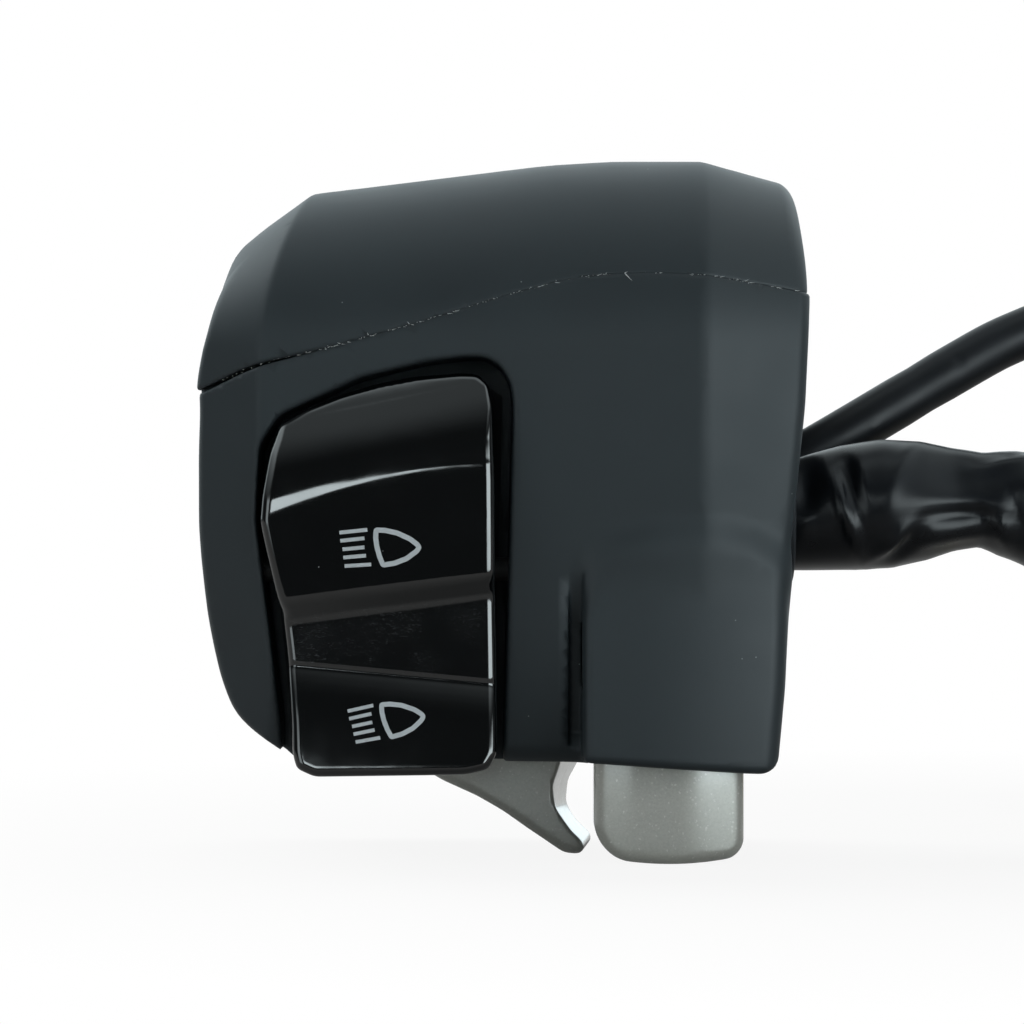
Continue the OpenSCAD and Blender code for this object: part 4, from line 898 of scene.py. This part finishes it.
# Turn signal lever: a hooked tab that flares backwards on its right side, on a hub with a drive stem.
lever = {
    "low": (-10.8, -7.2, -56.2), "high": (12.4, 7.2, -20.6), "step": 0.22, "saving": 0.005,
    "outline": [(4, -35.5), (5.7, -42.5), (5.0, -45.2), (4.15, -47.7), (4.5, -50.0), (6.2, -52.4),
                (7.3, -53.4), (7.6, -54.1), (7.0, -54.8), (5.3, -54.65), (3.4, -53.35), (1.2, -51.8),
                (-1.0, -50.25), (-3.7, -48.7), (-7.25, -47.1), (-9.6, -45.7), (-9.3, -44.2), (-7.6, -41),
                (-3.9, -35.5)],
    "outlineEase": (0.25, 0.4), "slope": 0.95, "half": 6.0,
    "flare": [(-53, 1.0), (-51.5, 0.8), (-49.5, 1.4), (-46, 2.3)], "flareSoft": 0.5, "flareFrom": 1.6,
    "flareBlend": 2.0, "edge": (1.1, 0.25), "edgeLine": (-9.6, -45.7, 0.525, 0.851), "edgeTurn": (1.0, 2.4),
    "hub": (-34.0, 4.2), "bore": 1.55, "boreRound": 0.1, "stem": ((-1.1, -2, -35), (1.1, 2, -23.4)),
    "tip": (-23.4, 1.5), "tipHalf": 2.0, "tipJoin": 0.3, "join": 0.4}


def leverField(grid):
    x, y, z = grid
    half = lever["half"]
    back = np.clip((y + half) / (2 * half), 0, 1)
    bend = np.clip((x - lever["flareFrom"]) / lever["flareBlend"], 0, 1)
    pull = runHeight(lever["flare"], z, lever["flareSoft"]) * back * bend
    field = outlineField(softLine(lever["outline"], *lever["outlineEase"], True), x - pull, z)
    px, pz, nx, nz = lever["edgeLine"]
    edge = np.interp((x - px) * nx + (z - pz) * nz, lever["edgeTurn"], lever["edge"]).astype(np.float32)
    field = roundMax(field * lever["slope"], np.abs(y) - half, edge)
    centre = np.hypot(x, z - lever["hub"][0])
    field = roundMin(field, np.maximum(centre - lever["hub"][1], np.abs(y) - half), lever["join"])
    tip = np.maximum(np.hypot(x, z - lever["tip"][0]) - lever["tip"][1], np.abs(y) - lever["tipHalf"])
    stem = roundMin(boxField(grid, *lever["stem"]), tip, lever["tipJoin"])
    return cutAway(roundMin(field, stem, lever["join"]), centre - lever["bore"], lever["boreRound"])


signalLever = fieldPiece("signalLever", leverField, lever, stock["flake"])
standIn(signalLever, "signal_lever", "signal_lever")

# Horn push block: rounded all over, its face bowed from side to side, on a flange that keeps it in its guide.
block = {
    "low": (6.6, -19.6, -55.9), "high": (25.0, -9.0, -34.8), "step": 0.2, "saving": 0.005,
    "x": (8.3, 23.45), "y": (-18.4, -11.0), "foot": -54.7, "top": -36.2, "bow": 1.5, "sag": 0.75,
    "corners": (3.5, 1.8), "cornerBlend": (-0.3, 0.3), "edge": 1.1,
    "flange": ((7.4, -17.3, -36.9), (24.2, -9.8, -35.5)), "join": 0.15}


def blockField(grid):
    x, y, z = grid
    left, right = block["x"]
    front, rear = block["y"]
    half = (right - left) / 2
    u = (x - (left + right) / 2) / half
    foot = block["foot"] + block["sag"] * u * u - z
    corner = np.interp(u, block["cornerBlend"], block["corners"]).astype(np.float32)
    field = roundMax((np.abs(u) - 1) * half, foot, corner)
    field = roundMax(field, np.maximum(front + block["bow"] * u * u - y, y - rear), block["edge"])
    field = np.maximum(field, z - block["top"])
    return roundMin(field, boxField(grid, *block["flange"]), block["join"])


hornButton = fieldPiece("hornButton", blockField, block, stock["flake"])
standIn(hornButton, "horn_button", "horn_button")
print("lever and block made")

# Socket-head screws: one head of each size, copied into the sunk seats of the shell and of the cover. The
# shape is in shares of the thread's diameter, from the thread's depth on in mm.
screws = {
    "clamp": {"low": (-4.2, -4.2, -12.6), "high": (4.2, 4.2, 3.4), "step": 0.16, "saving": 0.01, "d": 4.0,
              "long": 11.7, "turn": (0.0, 0.0, 0.3),
              "at": [(x, y, housing["clampSeat"]) for x, y in housing["clampAt"]]},
    "cover": {"low": (-3.2, -3.2, -11.0), "high": (3.2, 3.2, 2.6), "step": 0.14, "saving": 0.01, "d": 3.0,
              "long": 10.2, "turn": (-math.pi / 2, 0.0, 0.0),
              "at": [(x, housing["coverSeat"], z) for x, z in housing["coverAt"]]}}
screwShape = {"head": 0.875, "tall": 0.65, "shank": 0.47, "hexagon": 0.42, "socketFloor": 0.2,
              "thread": 0.12, "pitch": 1.0, "intoHead": 0.5, "rounds": (0.3, 0.2, 0.1, 0.08)}


def screwField(values):
    d = values["d"]
    headRound, shankRound, join, socketRound = screwShape["rounds"]

    def field(grid):
        x, y, z = grid
        far = np.hypot(x, y)
        head = roundMax(far - d * screwShape["head"], np.maximum(-z, z - d * screwShape["tall"]), headRound)
        thread = screwShape["thread"] * np.abs((z * 2 / screwShape["pitch"]) % 2 - 1)
        shank = roundMax(far - d * screwShape["shank"] + thread,
                         np.maximum(-values["long"] - z, z - screwShape["intoHead"]), shankRound)
        flats = [np.abs(x * math.cos(t) + y * math.sin(t)) for t in (0.0, math.pi / 3, 2 * math.pi / 3)]
        hexagon = np.maximum(np.maximum(flats[0], flats[1]), flats[2]) - d * screwShape["hexagon"]
        socket = np.maximum(hexagon, d * screwShape["socketFloor"] - z)
        return cutAway(roundMin(head, shank, join), socket, socketRound)
    return field


for kind, values in screws.items():
    head = fieldPiece(kind + "Head", screwField(values), values, stock["steel"])
    piece = makeObject(kind + "Screws", values["at"], [], stock["steel"])
    runTree(piece, trees["copies"], {"Piece": head, "Turn": values["turn"], "Material": stock["steel"]})
    bpy.data.objects.remove(head)
    standIn(piece, "housing", kind + "_screws")
print("screws placed")

# Grommets: turned rubber bushes, with a foot inside the wall and a rolled lip outside.
grommets = {
    "step": 0.12, "soft": 0.12, "turns": 73,
    "kinds": [("harnessGrommet", "harness_grommet", "sleeveHole",
               [(25.4, 6.05), (25.4, 7.4), (26.8, 7.4), (26.9, 6.8), (28.5, 6.8), (29.2, 6.75), (29.3, 6.3),
                (29.1, 6.02)]),
              ("leadGrommet", "lead_grommet", "leadHole",
               [(25.4, 2.8), (25.4, 4.15), (26.8, 4.15), (26.9, 3.56), (28.5, 3.56), (29.2, 3.5),
                (29.3, 3.15), (29.1, 2.8)])]}
for name, node, hole, profile in grommets["kinds"]:
    py, pz = housing[hole][:2]
    loop = softLine(profile, grommets["step"], grommets["soft"], True)
    rings = [[(px, py + pr * math.cos(t), pz + pr * math.sin(t)) for px, pr in loop]
             for t in np.linspace(0, 2 * math.pi, grommets["turns"])]
    piece = makeObject(name, *ringSkin(rings, False), stock["rubber"])
    mergeDoubles(piece.data)
    standIn(piece, "housing", node)

# Connectors: nylon housings with a latch, a groove round the body, a neck for the lead and brass terminals in
# their ways. Each is drawn at the origin with its mouth at one end, then turned and shifted to its lead.
plugs = {
    "harness": {"low": (-10, -27, -1), "high": (10, 1, 15.4), "step": 0.3, "saving": 0.01,
                "body": ((-9, -26, 0), (9, -5, 13)), "neck": ((-6.6, -5.5, 0), (6.6, 0, 12.2)),
                "latch": ((-2.6, -19.5, 12.5), (2.6, -9.1, 14.2)), "mouth": -26.0, "alongY": True,
                "ways": [(x, z) for x in (-6, -2, 2, 6) for z in (4, 9)], "bore": 5.9, "boreZ": 6.2,
                "turn": 0.0, "shift": (70, 44, -54.7)},
    "lead": {"low": (-1, -5.4, -1), "high": (16.2, 5.4, 9.4), "step": 0.2, "saving": 0.01,
             "body": ((3, -4.2, 0), (15, 4.2, 7)), "neck": ((0, -3.35, 0), (3.5, 3.35, 6.1)),
             "latch": ((5.2, -1.3, 6.6), (12, 1.3, 8.2)), "mouth": -15.0, "alongY": False,
             "ways": [(y, 3.5) for y in (-2, 2)], "bore": 2.72, "boreZ": 2.75,
             "turn": math.atan2(-2.4, 3.6), "shift": (118, -15.8, -54.7)}}
plugShape = {"edge": 0.6, "grooveFrom": 6.0, "grooveHalf": 0.4, "grooveDepth": 0.35, "grooveRound": 0.1,
             "neckJoin": 0.4, "latchJoin": 0.3, "wayHalf": 1.0, "wayDeep": 3.0, "wayRound": 0.12,
             "boreDeep": 4.0, "boreRound": 0.2}


def plugField(values):
    shape = plugShape

    def field(grid):
        x, y, z = grid
        along, across = (y, x) if values["alongY"] else (-x, y)
        inwards = along - values["mouth"]
        low, high = values["body"]
        sides = [np.maximum(low[k] - grid[k], grid[k] - high[k]) for k in range(3)]
        body = roundMax(roundMax(sides[0], sides[1], shape["edge"]), sides[2], shape["edge"])
        groove = np.maximum(np.abs(inwards - shape["grooveFrom"]) - shape["grooveHalf"],
                            -shape["grooveDepth"] - body)
        body = cutAway(body, groove, shape["grooveRound"])
        body = roundMin(body, boxField(grid, *values["neck"]), shape["neckJoin"])
        body = roundMin(body, boxField(grid, *values["latch"]), shape["latchJoin"])
        for a, h in values["ways"]:
            way = np.maximum(np.abs(across - a), np.abs(z - h)) - shape["wayHalf"]
            body = cutAway(body, np.maximum(way, inwards - shape["wayDeep"]), shape["wayRound"])
        bore = np.hypot(across, z - values["boreZ"]) - values["bore"]
        return cutAway(body, np.maximum(bore, -shape["boreDeep"] - along), shape["boreRound"])
    return field


# Terminal of one way: a folded brass box with a spring tongue, copied into every way. A section is its depth
# in the way and its share of the full size.
terminal = {"wide": 0.75, "tall": 0.6, "tongue": 0.25, "tongueHalf": (0.15, 0.1), "crease": 30,
            "sections": [(0.5, 0.9), (0.7, 1.0), (2.2, 1.0), (2.5, 0.8)]}


def terminalPiece(name, alongY):
    w, h, t = terminal["wide"], terminal["tall"], terminal["tongue"]
    lip, root = terminal["tongueHalf"]
    ring = [(-w, -h), (w, -h), (w, h), (lip, h), (root, h - t), (-root, h - t), (-lip, h), (-w, h)]
    rings = []
    for a, k in terminal["sections"]:
        rings.append([(p * k, a, q * k) if alongY else (-a, p * k, q * k) for p, q in ring])
    return makeObject(name, *ringSkin(rings), stock["brass"], terminal["crease"])


plugPieces = {}
for kind, values in plugs.items():
    turn, shift, mouth = values["turn"], values["shift"], values["mouth"]
    piece = fieldPiece(kind + "Connector", plugField(values), values, stock["nylon"], turn, shift)
    unit = terminalPiece(kind + "Terminal", values["alongY"])
    c, d = math.cos(turn), math.sin(turn)
    spots = []
    for a, h in values["ways"]:
        px, py = (a, mouth) if values["alongY"] else (-mouth, a)
        spots.append((shift[0] + px * c - py * d, shift[1] + px * d + py * c, shift[2] + h))
    pins = makeObject(kind + "Terminals", spots, [], stock["brass"])
    runTree(pins, trees["copies"], {"Piece": unit, "Turn": (0.0, 0.0, turn), "Material": stock["brass"]})
    bpy.data.objects.remove(unit)
    standIn(piece, "housing", kind + "_connector")
    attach(pins, "housing")
    plugPieces[kind] = [piece, pins]

for piece, values, node, path, ends, body in (
        (sleeveTube, sleeve, "harness_sleeve", sleevePath, plugPieces["harness"], "limp"),
        (leadTube, lead, "clutch_lead", leadPath, plugPieces["lead"], "stiff")):
    standIn(piece, "housing", node)
    print(piece.name, "runs", round(float(lengthsAlong(path)[-1]), 1), "mm")
print("grommets and connectors made")

# Burrs along the split line of the shells, as the moulding and the handling left them. A run is its name,
# left and right end, count, length, slenderness, stray, seed and how the burrs lie.
seam = {
    "step": 0.125, "castFrom": -60.0, "castOver": 0.3, "under": 0.28, "proud": 0.02,
    "along": ((-0.4, 1.1, -0.3), (0.4, 1.9, 0.3)), "around": ((-3.1, -3.1, -3.1), (3.1, 3.1, 3.1)),
    "runs": [("seamDashes", -24.0, 29.0, 190, 0.62, 0.09, 0.05, 4, "along"),
             ("seamBurrs", -30.0, 29.0, 150, 0.38, 0.16, 0.13, 5, "around"),
             ("starBurr", 11.2, 11.45, 14, 1.7, 0.04, 0.05, 8, "around")]}
upperTree = BVHTree.FromObject(shells["upperShell"], bpy.context.evaluated_depsgraph_get())
for name, left, right, count, length, slender, stray, seed, lie in seam["runs"]:
    line = []
    for px in np.arange(left, right, seam["step"]):
        pz = float(housingLine("split", px)) + seam["castOver"]
        hit = upperTree.ray_cast(Vector((px, seam["castFrom"], pz)) * mm, Vector((0, 1, 0)))[0]
        if hit:
            line.append((px, hit.y / mm - seam["proud"], pz - seam["under"]))
    mesh = bpy.data.meshes.new(name)
    mesh.from_pydata((np.array(line) * mm).tolist(), [(k, k + 1) for k in range(len(line) - 1)], [])
    burrs = linkObject(name, mesh)
    least, most = seam[lie]
    runTree(burrs, trees["burrs"], {"Count": count, "Seed": seed, "Length": length * mm, "Slender": slender,
                                    "Stray": stray * mm, "Least Turn": least, "Most Turn": most,
                                    "Material": stock["burr"]})
    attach(burrs, "housing")
print("burrs scattered")

# Working parts inside keep their CAD shapes and take the finish of what each is made of.
inside = {
    "rubber": ["rocker_dust_seal"], "oxide": ["rocker_pivot_pin"],
    "board": ["beam_switch_base", "signal_switch_base", "horn_switch_base"],
    "nylon": ["beam_slider", "signal_slider"],
    "brass": ["beam_contact", "beam_terminals", "signal_contact", "signal_terminals", "horn_contact",
              "horn_terminals", "thread_inserts"],
    "steel": ["lever_pivot_pin", "beam_detent_ball", "beam_detent_spring", "signal_detent_ball",
              "signal_detent_spring", "horn_return_spring"],
    "wireBlue": ["beam_wires"], "wireGreen": ["signal_wires"], "wireYellow": ["horn_wires"]}
for finish, nodes in inside.items():
    for node in nodes:
        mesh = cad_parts[node].data
        mesh.materials.clear()
        mesh.materials.append(stock[finish])
print("inner parts painted")

# Horn spring: a copy of the CAD coil, smooth-shaded; on the real switch it shortens by the travel of the
# block.
spring = {"node": "horn_return_spring", "joint": "horn_push", "travel": 2.5, "crease": 40.0}
bpy.context.view_layer.update()
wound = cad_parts[spring["node"]]
coil = linkObject("hornSpring", wound.data.copy())
coil.data.transform(wound.matrix_world)
mergeDoubles(coil.data)
coil.data.shade_smooth()
coil.data.set_sharp_from_angle(angle=math.radians(spring["crease"]))
standIn(coil, "housing", spring["node"])
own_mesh(coil)
print("spring set")

# Studio: a pale table, a soft lamp overhead, one at each side and one behind on the left. What gloss mirrors
# is a dim room with white behind the object, a bright ceiling, soft glows on both sides and a small card
# above the camera. A patch of that room is its strength and its ramps over the direction.
studio = {
    "tableZ": -54.76, "tableFront": -130.0, "tableHalf": 6000.0, "tableRough": 0.9, "tableGlow": (0.9, 1.0),
    "glowCentre": (45.0, 20.0), "glowReach": (60.0, 150.0), "tableMirrored": 0.15, "roomGlow": 0.3,
    "lamps": [("overhead", (0, 240, 520), (0, 0, -10), 520, 300, 2.6),
              ("rightSide", (420, -300, 160), (10, -10, -15), 200, 400, 0.6),
              ("leftSide", (-420, -300, 160), (-10, -10, -15), 200, 400, 0.55),
              ("leftBack", (-330, 230, 330), (-10, 0, 0), 260, 260, 1.4)],
    "dim": 0.1,
    "patches": {
        "behind": (1.7, [("Y", 0.1, 0.6)]),
        "ceiling": (0.75, [("Z", 0.45, 0.85), ("Y", 0.2, -0.1)]),
        "zenith": (1.5, [("Z", 0.92, 0.97), ("Y", 0.2, 0.0)]),
        "rightStrip": (13.0, [("X", 0.26, 0.42), ("X", 0.97, 0.86), ("Y", -0.1, -0.4), ("Z", 0.34, 0.2),
                              ("Z", -0.25, -0.12)]),
        "leftStrip": (4.6, [("X", -0.34, -0.4), ("X", -0.82, -0.66), ("Y", -0.3, -0.5), ("Z", 0.34, 0.2),
                            ("Z", -0.25, -0.12)]),
        "leftHigh": (3.0, [("X", -0.35, -0.6), ("Z", 0.2, 0.7)]),
        "rightHigh": (2.2, [("X", 0.25, 0.5), ("Z", 0.3, 0.7)]),
        "card": (14.0, [("Z", 0.06, 0.08), ("Z", 0.22, 0.19), ("X", -0.2, -0.15), ("X", -0.03, -0.045),
                        ("Y", -0.3, -0.5)])}}


# Matt white table: it glows white to the camera but for the object's shadow, which fades out further off.
def tableFinish():
    material, tree, shader, place = startMaterial("white studio table")
    shader.inputs["Base Color"].default_value = linear(finishes["floor"])
    shader.inputs["Roughness"].default_value = studio["tableRough"]
    shader.inputs["Specular IOR Level"].default_value = 0.0
    ray = addNode(tree, "ShaderNodeLightPath")
    centre = Vector((*studio["glowCentre"], studio["tableZ"])) * mm
    reach = addNode(tree, "ShaderNodeVectorMath", {"operation": "DISTANCE", 1: centre}, {0: place})
    (near, far), (least, most) = studio["glowReach"], studio["tableGlow"]
    fade = addNode(tree, "ShaderNodeMapRange", {1: near * mm, 2: far * mm, 3: least, 4: most},
                   {0: reach.outputs["Value"]})
    seen = addNode(tree, "ShaderNodeMath", {"operation": "MULTIPLY"},
                   {0: ray.outputs["Is Camera Ray"], 1: fade.outputs[0]})
    for kind in ("Is Glossy Ray", "Is Transmission Ray"):
        seen = addNode(tree, "ShaderNodeMath", {"operation": "MULTIPLY_ADD", 1: studio["tableMirrored"]},
                       {0: ray.outputs[kind], 2: seen.outputs[0]})
    share = addNode(tree, "ShaderNodeMath", {"operation": "MINIMUM", 1: 1.0}, {0: seen.outputs[0]})
    glow = addNode(tree, "ShaderNodeEmission", {"Color": (1, 1, 1, 1), "Strength": 1.0})
    mix = addNode(tree, "ShaderNodeMixShader", None,
                  {0: share.outputs[0], 1: shader.outputs[0], 2: glow.outputs[0]})
    tree.links.new(mix.outputs[0], tree.nodes["Material Output"].inputs["Surface"])
    return material


half, front, level = studio["tableHalf"], studio["tableFront"], studio["tableZ"]
table = makeObject("table", [(-half, front, level), (half, front, level), (half, half, level),
                             (-half, half, level)], [(0, 1, 2, 3)], tableFinish())

world = bpy.data.worlds.new("studio")
bpy.context.scene.world = world
world.use_nodes = True
sky = world.node_tree
sky.nodes.clear()
ray = addNode(sky, "ShaderNodeLightPath")
aim = addNode(sky, "ShaderNodeSeparateXYZ", None,
              {0: addNode(sky, "ShaderNodeTexCoord").outputs["Generated"]})


# A smooth patch of the mirrored room: ramps that rise from one value to another, multiplied together.
def glowPatch(strength, ramps):
    total = None
    for axis, low, high in ramps:
        ramp = addNode(sky, "ShaderNodeMapRange",
                       {"interpolation_type": "SMOOTHSTEP", 1: low, 2: high, 3: 0.0, 4: 1.0},
                       {0: aim.outputs[axis]}).outputs[0]
        if total:
            ramp = addNode(sky, "ShaderNodeMath", {"operation": "MULTIPLY"}, {0: total, 1: ramp}).outputs[0]
        total = ramp
    return addNode(sky, "ShaderNodeMath", {"operation": "MULTIPLY", 1: strength}, {0: total}).outputs[0]


patches = [glowPatch(*patch) for patch in studio["patches"].values()]
far = addNode(sky, "ShaderNodeMath", {"operation": "ADD", 0: studio["dim"]}, {1: patches[0]})
for patch in patches[1:]:
    far = addNode(sky, "ShaderNodeMath", {"operation": "ADD"}, {0: far.outputs[0], 1: patch})
room = addNode(sky, "ShaderNodeMix", {"data_type": "FLOAT", 2: studio["roomGlow"]},
               {0: ray.outputs["Is Glossy Ray"], 3: far.outputs[0]})
level = addNode(sky, "ShaderNodeMix", {"data_type": "FLOAT", 3: 1.0},
                {0: ray.outputs["Is Camera Ray"], 2: room.outputs[0]})
tint = addNode(sky, "ShaderNodeMix", {"data_type": "RGBA", 6: linear(finishes["room"]), 7: (1, 1, 1, 1)},
               {0: ray.outputs["Is Camera Ray"]})
background = addNode(sky, "ShaderNodeBackground", None,
                     {"Color": tint.outputs[2], "Strength": level.outputs[0]})
addNode(sky, "ShaderNodeOutputWorld", None, {"Surface": background.outputs[0]})

for name, place, target, wide, tall, power in studio["lamps"]:
    data = bpy.data.lights.new(name, "AREA")
    data.shape = "RECTANGLE"
    data.size, data.size_y = wide * mm, tall * mm
    data.energy = power
    lamp = linkObject(name, data)
    lamp.location = Vector(place) * mm
    lamp.rotation_euler = (Vector(target) - Vector(place)).to_track_quat("-Z", "Y").to_euler()
    lamp.visible_camera = False
    lamp.visible_glossy = False
bpy.context.scene.view_settings.view_transform = "Standard"
print("studio lit")
